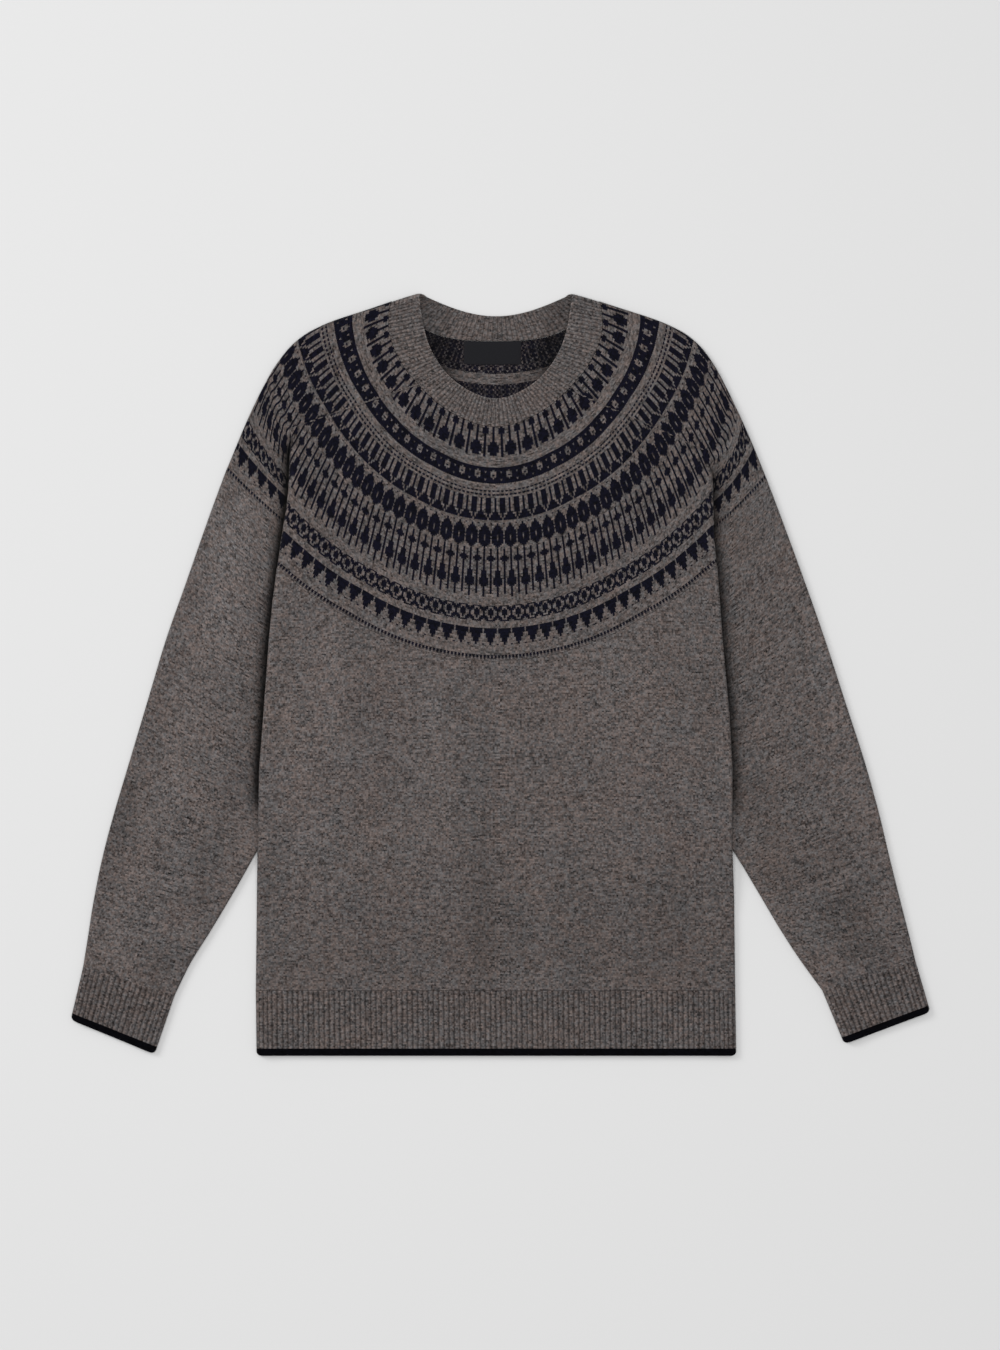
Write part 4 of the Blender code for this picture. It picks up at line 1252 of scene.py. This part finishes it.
def make_band(name, finish, start, end, ribs, corner=0.0):
    """A flattened tube between two plan lines, with ribs on its upper side or rounded corners."""
    cloth = Cloth()
    upper, lower = [], []
    columns = RIB_POINTS * ribs + 1 if ribs else PLAIN_COLUMNS
    shares = np.linspace(0, 1, columns)
    length = np.linalg.norm(np.mean(end, axis=0) - np.mean(start, axis=0))
    rows = max(2, round(length / BAND_ROW))
    row_shares = np.linspace(0, 1, rows + 1)
    if corner:
        row_shares = np.sin(np.linspace(0, math.pi / 2, CORNER_ROWS + 1))
    for row_share in row_shares:
        right, left = np.array(start) + (np.array(end) - np.array(start)) * row_share
        rounding = max(0.0, corner - length * (1 - row_share))
        pull = unit(left - right) * (corner - math.sqrt(corner**2 - rounding**2))
        right, left = right + pull, left - pull
        plan = inset(right + (left - right) * shares[:, None], (0, -1), FOLD_ROOM)
        outer, inner, _ = loop_of(
            Section(raised(plan, FRONT_HEIGHT + edge_puff(plan))),
            Section(raised(plan[::-1], BACK_HEIGHT)),
        )
        if ribs:
            outer[:columns, 2] += RIB_RAISE * np.sin(math.pi * ribs * shares) ** 2
        places = np.arange(len(outer) + 1) / RIB_POINTS * WALES_PER_RIB
        if not ribs:
            places = distances(joined_up(outer)) / WALE
        for points, lines in ((outer, upper), (inner, lower)):
            across = np.linspace(0, 1, len(points) + 1)
            lines.append(cloth.line(joined_up(points), across, places, row_share * length / COURSE))
    cloth.wall(upper, lower, tube=True)
    return cloth.make(name + "_cloth", finish)


def make_tipping(name, finish, start, end):
    """A navy edge, on the rib that it's knitted onto: a plain band with rounded corners."""
    return make_band(name, finish, start, end, 0, corner=TIPPING_CORNER)


def make_cuffs(rib_finish, tipping_finish):
    """Both cuffs and their navy edges."""
    for side in (-1, 1):
        lines = []
        for ring in (SLEEVE_RINGS[side][-1], CUFF_ENDS[side]):
            ends = ((ring.outer_x, ring.outer_y), (ring.inner_x, ring.inner_y))
            lines.append(ends[::-side])
        start, end = lines
        split = np.array(start) * TIPPING_SHARE + np.array(end) * (1 - TIPPING_SHARE)
        name = side_name(side)
        near = shifted(split, start, SEAM_GAP)
        edge = make_tipping("cuff_tipping_" + name, tipping_finish, split, end)
        make_band("cuff_" + name, rib_finish, start, near, CUFF_RIBS)


def make_hem(rib_finish, tipping_finish):
    """The hem rib and its navy edge."""
    lines = [
        ((body_side(-1, y), y), (body_side(1, y), y))
        for y in (HEM_TOP, HEM_TIPPING_TOP + SEAM_GAP, HEM_TIPPING_TOP, HEM_BOTTOM)
    ]
    edge = make_tipping("hem_tipping", tipping_finish, lines[2], lines[3])
    make_band("hem_rib", rib_finish, lines[0], lines[1], HEM_RIBS)


def neck_edges(turn):
    """The band's seam and opening edge in front, from -1 at the right shoulder to 1 at the left."""
    seam_ends = [to_polar(outline_point(side, NECK_DROP))[1] for side in (-1, 1)]
    point_ends = [to_polar((NECK_POINT_X[side], NECK_POINT_Y))[1] for side in (-1, 1)]
    seam_angles = np.where(turn < 0, -turn * seam_ends[0], turn * seam_ends[1])
    edge_angles = np.where(turn < 0, -turn * point_ends[0], turn * point_ends[1])
    seam = round_plan(NECK_DROP, seam_angles)
    turned = np.abs(edge_angles)
    reach = OPENING_SOFTENING * np.clip((turned.max() - turned) / OPENING_SOFT_WITHIN, 0, 1)
    places = [np.abs(turned + step * reach) for step in SOFTENING_STEPS]
    radii = [read_table(NECK_OPENING, "angle", "radius", place) for place in places]
    edge = from_polar(np.mean(radii, axis=0), edge_angles)
    return seam + neckward_of(seam) * BAND_GAP, edge


def neck_loop(share):
    """One round of the neckband, from its seam at share 0 to its opening edge at 1."""
    seam, edge = neck_edges(np.linspace(-1, 1, CURVE_POINTS))
    along = distances((seam + edge) / 2)
    ribs = np.linspace(0, 1, RIB_POINTS * NECK_RIBS_FRONT + 1)
    seam, edge = neck_edges(np.interp(ribs, along / along[-1], np.linspace(-1, 1, CURVE_POINTS)))
    front = seam + (edge - seam) * share
    across = np.linspace(1, 0, RIB_POINTS * NECK_RIBS_BACK + 1)
    back_seam = back_seam_plan(across) + np.array([0, BAND_GAP])
    arch = BACK_NECK_DIP * np.cos(math.pi / 2 * (2 * across - 1))
    edge_x = NECK_POINT_X[-1] + (NECK_POINT_X[1] - NECK_POINT_X[-1]) * across
    back = back_seam + (np.column_stack([edge_x, NECK_POINT_Y - arch]) - back_seam) * share
    room = (BAND_FRONT_HEIGHT - BAND_BACK_HEIGHT) / 2 + BAND_WALL / 2
    tip = np.clip(1 - (1 - share) * NECK_BAND_DEPTH / NECK_TIP_RADIUS, 0, 1)
    room += NECK_TIP_RADIUS * (1 - math.sqrt(1 - tip**2))
    front, back = inset(front, (0, -1), room), inset(back, (0, -1), room)
    outward = [
        unit(unit(front[end] - front[beside]) + share * unit(back[-1 - end] - back[-1 - beside]))
        for end, beside in ((-1, -2), (0, 1))
    ]
    thickness = BAND_WALL * (1 - BAND_EDGE_THINNING * share**BAND_EDGE_POWER)
    outer, inner, _ = loop_of(
        Section(raised(front, BAND_FRONT_HEIGHT)),
        Section(raised(back, BAND_BACK_HEIGHT)),
        thickness,
        outward,
    )
    rise = RIB_RAISE * smooth((1.0 - share) / RIB_EDGE_SHARE)
    outer[:len(front), 2] += rise * np.sin(math.pi * NECK_RIBS_FRONT * ribs) ** 2
    start = len(front) + 2 * FOLD_STEPS - 1
    inner[start:start + len(back), 2] += rise * np.sin(math.pi * NECK_RIBS_BACK * across) ** 2
    return outer, inner


def make_neckband(finish):
    """The ribbed neckband, with its ribs towards the neck opening."""
    cloth = Cloth()
    upper, lower = [], []
    for share in NECK_ROW_SHARES:
        outer, inner = neck_loop(share)
        places = np.arange(len(outer) + 1) / RIB_POINTS * WALES_PER_RIB
        across = np.linspace(0, 1, len(places))
        course = (1 - share) * NECK_BAND_DEPTH / COURSE
        # A painted highlight on the front band's opening rim, and painted shade on the back band's
        # inner side, more towards its ends
        painted_rim_highlight = -NECK_RIM_PAINTED_HIGHLIGHT * smooth((share - 1 + NECK_RIM_SHARE) / NECK_RIM_SHARE)
        away = np.abs(joined_up(inner)[:, 0] - YOKE_MIDDLE[0])
        painted_side_shadow = BACK_BAND_SIDE_PAINTED_SHADE * smooth((away - BACK_BAND_SIDE_START) / BACK_BAND_SIDE_REACH)
        upper.append(cloth.line(joined_up(outer), across, places, course, painted_rim_highlight))
        lower.append(cloth.line(joined_up(inner), across, places, course, BACK_BAND_PAINTED_SHADE + painted_side_shadow))
    cloth.wall(upper, lower, tube=True)
    cloth.make("neckband_cloth", finish)


def make_label(finish):
    """A plain woven label, sewn flat below the back neck seam, thinner towards its rounded edges.
    """
    cloth = Cloth()
    upper, lower = [], []
    half = np.array(LABEL_SIZE) / 2
    xs = np.linspace(-1, 1, LABEL_COLUMNS)
    for down in np.linspace(1, -1, LABEL_ROWS):
        rounding = np.sqrt((1 - xs**LABEL_EDGE_POWER) * (1 - down**LABEL_EDGE_POWER))
        top = LABEL_WALL * (LABEL_EDGE_SHARE + (1 - LABEL_EDGE_SHARE) * rounding)
        plan = np.column_stack([
            LABEL_MIDDLE[0] + half[0] * xs + LABEL_SKEW * down,
            np.full(LABEL_COLUMNS, LABEL_MIDDLE[1] + half[1] * down) + LABEL_SAG * (xs**2 - 0.5),
        ])
        wales, course = xs * half[0] / WALE, -down * half[1] / COURSE
        upper.append(cloth.line(raised(plan, LABEL_BASE + top), xs, wales, course))
        lower.append(cloth.line(raised(plan, LABEL_BASE), xs, wales, course))
    cloth.wall(upper, lower)
    cloth.make("neck_label_cloth", finish)


class Number:
    """A number in a material; arithmetic on it adds Math nodes."""

    def __init__(self, nodes, socket):
        self.nodes, self.socket = nodes, socket

    def math(self, operation, first, second=None):
        values = {0: first} if second is None else {0: first, 1: second}
        return self.nodes.number("ShaderNodeMath", {"operation": operation}, values)

    def __add__(self, other):
        return self.math("ADD", self, other)

    def __sub__(self, other):
        return self.math("SUBTRACT", self, other)

    def __mul__(self, other):
        return self.math("MULTIPLY", self, other)

    def __truediv__(self, other):
        return self.math("DIVIDE", self, other)

    def __rsub__(self, other):
        return self.math("SUBTRACT", other, self)

    def __pow__(self, other):
        return self.math("POWER", self, other)

    def __gt__(self, other):
        return self.math("GREATER_THAN", self, other)

    __radd__ = __add__
    __rmul__ = __mul__

    def apply(self, operation):
        return self.math(operation, self)


class Finish:
    """The nodes of one material."""

    def __init__(self, name):
        self.material = bpy.data.materials.new(name)
        self.material.use_nodes = True
        self.tree = self.material.node_tree
        self.shader = self.tree.nodes["Principled BSDF"]

    def node(self, kind, settings, inputs):
        """Adds a node: its settings are made first, and then its sockets' values or links."""
        made = self.tree.nodes.new(kind)
        for name, value in settings.items():
            setattr(made, name, value)
        for name, value in inputs.items():
            self.set(made, name, value)
        return made

    def set(self, node, name, value):
        if isinstance(value, Number):
            value = value.socket
        if isinstance(value, bpy.types.NodeSocket):
            self.tree.links.new(value, node.inputs[name])
        else:
            node.inputs[name].default_value = value

    def number(self, kind, settings, inputs, output=0):
        return Number(self, self.node(kind, settings, inputs).outputs[output])

    def blend(self, share, first, second):
        """A colour between two others."""
        first, second = (
            colour if isinstance(colour, bpy.types.NodeSocket) else (*colour, 1.0)
            for colour in (first, second)
        )
        inputs = {0: share, 6: first, 7: second}
        mix = self.node("ShaderNodeMix", {"data_type": "RGBA"}, inputs)
        return mix.outputs[2]

    def shaded(self, colour, factor):
        """A colour made lighter or darker."""
        settings = {"operation": "SCALE"}
        return self.node("ShaderNodeVectorMath", settings, {0: colour, "Scale": factor}).outputs[0]

    def noise(self, scale, detail=2.0, roughness=0.5):
        """Soft noise round 0, about 1 wide, fixed to the piece."""
        place = self.node("ShaderNodeTexCoord", {}, {}).outputs["Object"]
        values = {"Vector": place, "Scale": scale, "Detail": detail, "Roughness": roughness}
        return self.number("ShaderNodeTexNoise", {}, values) * 2.0 - 1.0

    def attribute(self, name):
        return self.number("ShaderNodeAttribute", {"attribute_name": name}, {}, "Fac")

    def stitch_places(self):
        """The stitch coordinates: wales and courses."""
        uv = self.node("ShaderNodeUVMap", {"uv_map": "stitches"}, {}).outputs[0]
        split = self.node("ShaderNodeSeparateXYZ", {}, {0: uv})
        return Number(self, split.outputs[0]), Number(self, split.outputs[1])

    def random(self, across, down):
        """A random number from 0 to 1 for each stitch."""
        stitch = {0: across.apply("FLOOR"), 1: down.apply("FLOOR")}
        place = self.node("ShaderNodeCombineXYZ", {}, stitch).outputs[0]
        return self.number("ShaderNodeTexWhiteNoise", {"noise_dimensions": "2D"}, {0: place})

    def bump(self, height, distance, strength):
        values = {"Height": height, "Distance": distance, "Strength": strength}
        return self.node("ShaderNodeBump", {}, values).outputs[0]


def knit_finish(name, yarn, second_yarn=None, rib_shade=0.0, shade=1.0, sheen=0.04):
    """Knitted wool: V-shaped stitches in one yarn or two, uneven in tone, with fine fibres, painted
    shade between the stitches and in the ribs' valleys, and the piece's painted light and shade.
    """
    finish = Finish(name)
    wale, course = finish.stitch_places()
    leg = (wale.apply("FRACT") * 2.0 - 1.0).apply("ABSOLUTE")
    course = course + leg * STITCH_SLANT
    in_round = course.apply("FRACT")
    tuft = (wale * (2 * math.pi)).apply("SINE") ** 2.0
    crown = (in_round * math.pi).apply("SINE")
    height = tuft * (1 - CROWN_SHARE + CROWN_SHARE * crown)
    tone = 1.0 + (finish.random(wale, course) - 0.5) * STITCH_UNEVEN
    tone = tone + (finish.random(wale / STREAK_WALES, course) - 0.5) * STREAK_UNEVEN
    tone = tone + finish.noise(FIBRE_SCALE, detail=3.0, roughness=0.7) * FIBRE_CONTRAST
    mottle = finish.noise(MOTTLE_SCALE)
    tone = tone + mottle * MOTTLE_CONTRAST
    # Painted shade where the stitches sink in, and the painted light and shade held in the tone
    # attribute
    tone = tone * (1 - STITCH_GROOVE_PAINTED_SHADE * (1 - height)) * (finish.attribute("tone") + 1.0)
    # Painted shade in the ribs' valleys
    if rib_shade:
        valley = (wale * (2 * math.pi / WALES_PER_RIB)).apply("COSINE") * 0.5 + 0.5
        tone = tone * (1 - rib_shade * valley**RIB_VALLEY_POWER)
        height = height + (1 - valley) * RIB_BUMP
    fibres = finish.noise(MELANGE_SCALE, roughness=0.6) * MELANGE_CONTRAST
    fibres = fibres + mottle * MOTTLE_TINT + 0.5
    cool, warm = (np.multiply(yarn, tint).tolist() for tint in (COOL_TINT, WARM_TINT))
    colour = finish.blend(fibres, cool, warm)
    if second_yarn:
        here, below = finish.attribute("navy"), finish.attribute("navy_next")
        lower_part = (in_round * -1.0 + leg * STITCH_SLANT) > 0.0
        spread = ((finish.attribute("navy_beside") * leg) > NAVY_SPREAD) * (1 - lower_part)
        navy = here + (below - here) * lower_part
        navy = navy + (1 - navy) * spread
        colour = finish.blend(navy, colour, second_yarn)
    shader = finish.shader
    finish.set(shader, "Base Color", finish.shaded(colour, tone * shade))
    finish.set(shader, "Roughness", 0.92)
    finish.set(shader, "Specular IOR Level", 0.05)
    finish.set(shader, "Sheen Weight", sheen)
    finish.set(shader, "Sheen Roughness", 0.6)
    finish.set(shader, "Normal", finish.bump(height, KNIT_RELIEF, KNIT_BUMP))
    return finish.material


def label_finish(colour):
    """Plain-woven tape: fine crossing threads."""
    finish = Finish("label_tape")
    place = finish.node("ShaderNodeTexCoord", {}, {}).outputs["Object"]
    split = finish.node("ShaderNodeSeparateXYZ", {}, {0: place})
    across, up = Number(finish, split.outputs[0]), Number(finish, split.outputs[1])
    turn = 2 * math.pi / THREAD_PITCH
    weave = (across * turn).apply("SINE") * (up * turn).apply("SINE")
    tone = 1.0 + weave * THREAD_SHADE + finish.noise(FIBRE_SCALE) * TAPE_FIBRE_CONTRAST
    shader = finish.shader
    finish.set(shader, "Base Color", finish.shaded(colour, tone))
    finish.set(shader, "Roughness", 0.8)
    finish.set(shader, "Specular IOR Level", 0.1)
    finish.set(shader, "Normal", finish.bump(weave, THREAD_RELIEF, THREAD_BUMP))
    return finish.material


class YarnSettings(bpy.types.PropertyGroup):
    """The colours of the yarns."""

    body: bpy.props.FloatVectorProperty(
        name="Body", description="Main yarn", default=(0.106, 0.0935, 0.0915),
        size=3, subtype="COLOR", min=0.0, max=1.0,
    )
    navy: bpy.props.FloatVectorProperty(
        name="Navy", description="Second yarn of the yoke", default=(0.0028, 0.0028, 0.0080),
        size=3, subtype="COLOR", min=0.0, max=1.0,
    )
    tipping: bpy.props.FloatVectorProperty(
        name="Tipping", description="Yarn of the edges", default=(0.0012, 0.0012, 0.0022),
        size=3, subtype="COLOR", min=0.0, max=1.0,
    )
    label: bpy.props.FloatVectorProperty(
        name="Label", description="Tape of the neck label", default=(0.0095, 0.0095, 0.0115),
        size=3, subtype="COLOR", min=0.0, max=1.0,
    )
    rib_shade: bpy.props.FloatProperty(
        name="Rib tone", description="Tone of the ribs beside the body", default=1.05,
        subtype="FACTOR", min=0.5, max=1.5,
    )


class StageSettings(bpy.types.PropertyGroup):
    """The floor, lights and camera."""

    floor: bpy.props.FloatVectorProperty(
        name="Floor", description="Colour of the floor", default=(0.625, 0.625, 0.625),
        size=3, subtype="COLOR", min=0.0, max=1.0,
    )
    camera_height: bpy.props.FloatProperty(
        name="Camera height", description="Height of the camera above the floor", default=3.463,
        unit="LENGTH", min=0.5,
    )
    lens: bpy.props.FloatProperty(
        name="Lens", description="Focal length in millimetres", default=100.0, min=10.0,
    )
    overhead: bpy.props.FloatProperty(
        name="Overhead light", description="Power of the light overhead, in watts",
        default=150.0, min=0.0,
    )
    side: bpy.props.FloatProperty(
        name="Side light", description="Power of the light from the side, in watts",
        default=114.0, min=0.0,
    )
    fill: bpy.props.FloatProperty(
        name="Fill", description="Strength of the light from all round", default=0.40, min=0.0,
    )


def yarn(name):
    return tuple(getattr(bpy.context.scene.sweater_yarns, name))


def shared_finish(name, *yarns, **settings):
    """A knitted finish of several pieces, made the first time that it's asked for."""
    return bpy.data.materials.get(name) or knit_finish(name, *yarns, **settings)


def body_finish():
    return shared_finish("plain_wool", yarn("body"))


def rib_finish():
    shade = bpy.context.scene.sweater_yarns.rib_shade
    return shared_finish("ribbed_wool", yarn("body"), rib_shade=RIB_VALLEY_PAINTED_SHADE, shade=shade)


def tipping_finish():
    return shared_finish("edge_wool", yarn("tipping"), sheen=0.0)


class KnitYoke(bpy.types.Operator):
    """Knits the patterned yoke, front and back"""

    bl_idname = "sweater.knit_yoke"
    bl_label = "Yoke"

    def execute(self, context):
        make_yoke(knit_finish("yoke_wool", yarn("body"), yarn("navy")))
        return {"FINISHED"}


class KnitBody(bpy.types.Operator):
    """Knits the body, front and back"""

    bl_idname = "sweater.knit_body"
    bl_label = "Body"

    def execute(self, context):
        make_body(body_finish())
        return {"FINISHED"}


class KnitSleeves(bpy.types.Operator):
    """Knits the two sleeves"""

    bl_idname = "sweater.knit_sleeves"
    bl_label = "Sleeves"

    def execute(self, context):
        make_sleeves(body_finish())
        return {"FINISHED"}


class KnitCuffs(bpy.types.Operator):
    """Knits the two cuffs with their navy edges"""

    bl_idname = "sweater.knit_cuffs"
    bl_label = "Cuffs"

    def execute(self, context):
        make_cuffs(rib_finish(), tipping_finish())
        return {"FINISHED"}


class KnitHem(bpy.types.Operator):
    """Knits the hem rib with its navy edge"""

    bl_idname = "sweater.knit_hem"
    bl_label = "Hem"

    def execute(self, context):
        make_hem(rib_finish(), tipping_finish())
        return {"FINISHED"}


class KnitNeckband(bpy.types.Operator):
    """Knits the ribbed neckband"""

    bl_idname = "sweater.knit_neckband"
    bl_label = "Neckband"

    def execute(self, context):
        settings = {"rib_shade": NECK_RIB_VALLEY_PAINTED_SHADE, "shade": NECKBAND_SHADE}
        make_neckband(knit_finish("neckband_wool", yarn("body"), **settings))
        return {"FINISHED"}


class SewLabel(bpy.types.Operator):
    """Sews the plain label inside the back of the neck"""

    bl_idname = "sweater.sew_label"
    bl_label = "Label"

    def execute(self, context):
        make_label(label_finish(yarn("label")))
        return {"FINISHED"}


def add_light(name, place, size, power):
    """A square area light that faces the middle of the sweater."""
    bpy.ops.object.light_add(type="AREA", location=place)
    light = bpy.context.object
    light.name = name
    light.data.size = size
    light.data.energy = power
    light.rotation_euler = (-light.location).to_track_quat("-Z", "Y").to_euler()


class SetStage(bpy.types.Operator):
    """Lays the floor and sets the lights and the camera"""

    bl_idname = "sweater.set_stage"
    bl_label = "Stage"

    def execute(self, context):
        stage = context.scene.sweater_stage
        bpy.ops.object.select_all(action="DESELECT")
        bpy.ops.mesh.primitive_plane_add(size=FLOOR_SIZE, location=(0, 0, FLOOR_DROP))
        floor = context.object
        floor.name = "floor"
        finish = Finish("floor_paper")
        finish.set(finish.shader, "Base Color", (*stage.floor, 1.0))
        finish.set(finish.shader, "Roughness", 0.95)
        finish.set(finish.shader, "Specular IOR Level", 0.1)
        floor.data.materials.append(finish.material)
        add_light("overhead", OVERHEAD_PLACE, OVERHEAD_SIZE, stage.overhead)
        add_light("side", SIDE_PLACE, SIDE_SIZE, stage.side)
        world = context.scene.world or bpy.data.worlds.new("room")
        context.scene.world = world
        world.use_nodes = True
        background = world.node_tree.nodes["Background"]
        background.inputs["Color"].default_value = (1.0, 1.0, 1.0, 1.0)
        background.inputs["Strength"].default_value = stage.fill
        bpy.ops.object.camera_add(location=(0, 0, stage.camera_height), rotation=(0, 0, 0))
        camera = context.object
        camera.name = "overhead_camera"
        camera.data.lens = stage.lens
        camera.data.sensor_width = CAMERA_SENSOR
        context.scene.camera = camera
        context.scene.view_settings.view_transform = "Standard"
        return {"FINISHED"}


PIECES = (KnitYoke, KnitBody, KnitSleeves, KnitCuffs, KnitHem, KnitNeckband, SewLabel, SetStage)


class SweaterPanel(bpy.types.Panel):
    """Settings and steps for the sweater"""

    bl_idname = "VIEW3D_PT_sweater"
    bl_label = "Round-yoke sweater"
    bl_space_type = "VIEW_3D"
    bl_region_type = "UI"
    bl_category = "Sweater"

    def draw(self, context):
        for settings in (context.scene.sweater_yarns, context.scene.sweater_stage):
            for name in settings.bl_rna.properties.keys():
                if name not in ("rna_type", "name"):
                    self.layout.prop(settings, name)
        for piece in PIECES:
            self.layout.operator(piece.bl_idname)


CLASSES = (YarnSettings, StageSettings, *PIECES, SweaterPanel)


def register():
    for each in CLASSES:
        bpy.utils.register_class(each)
    bpy.types.Scene.sweater_yarns = bpy.props.PointerProperty(type=YarnSettings)
    bpy.types.Scene.sweater_stage = bpy.props.PointerProperty(type=StageSettings)


def unregister():
    del bpy.types.Scene.sweater_stage
    del bpy.types.Scene.sweater_yarns
    for each in reversed(CLASSES):
        bpy.utils.unregister_class(each)


def main():
    register()
    for piece in PIECES:
        group, name = piece.bl_idname.split(".")
        getattr(getattr(bpy.ops, group), name)()


if __name__ == "__main__":
    main()
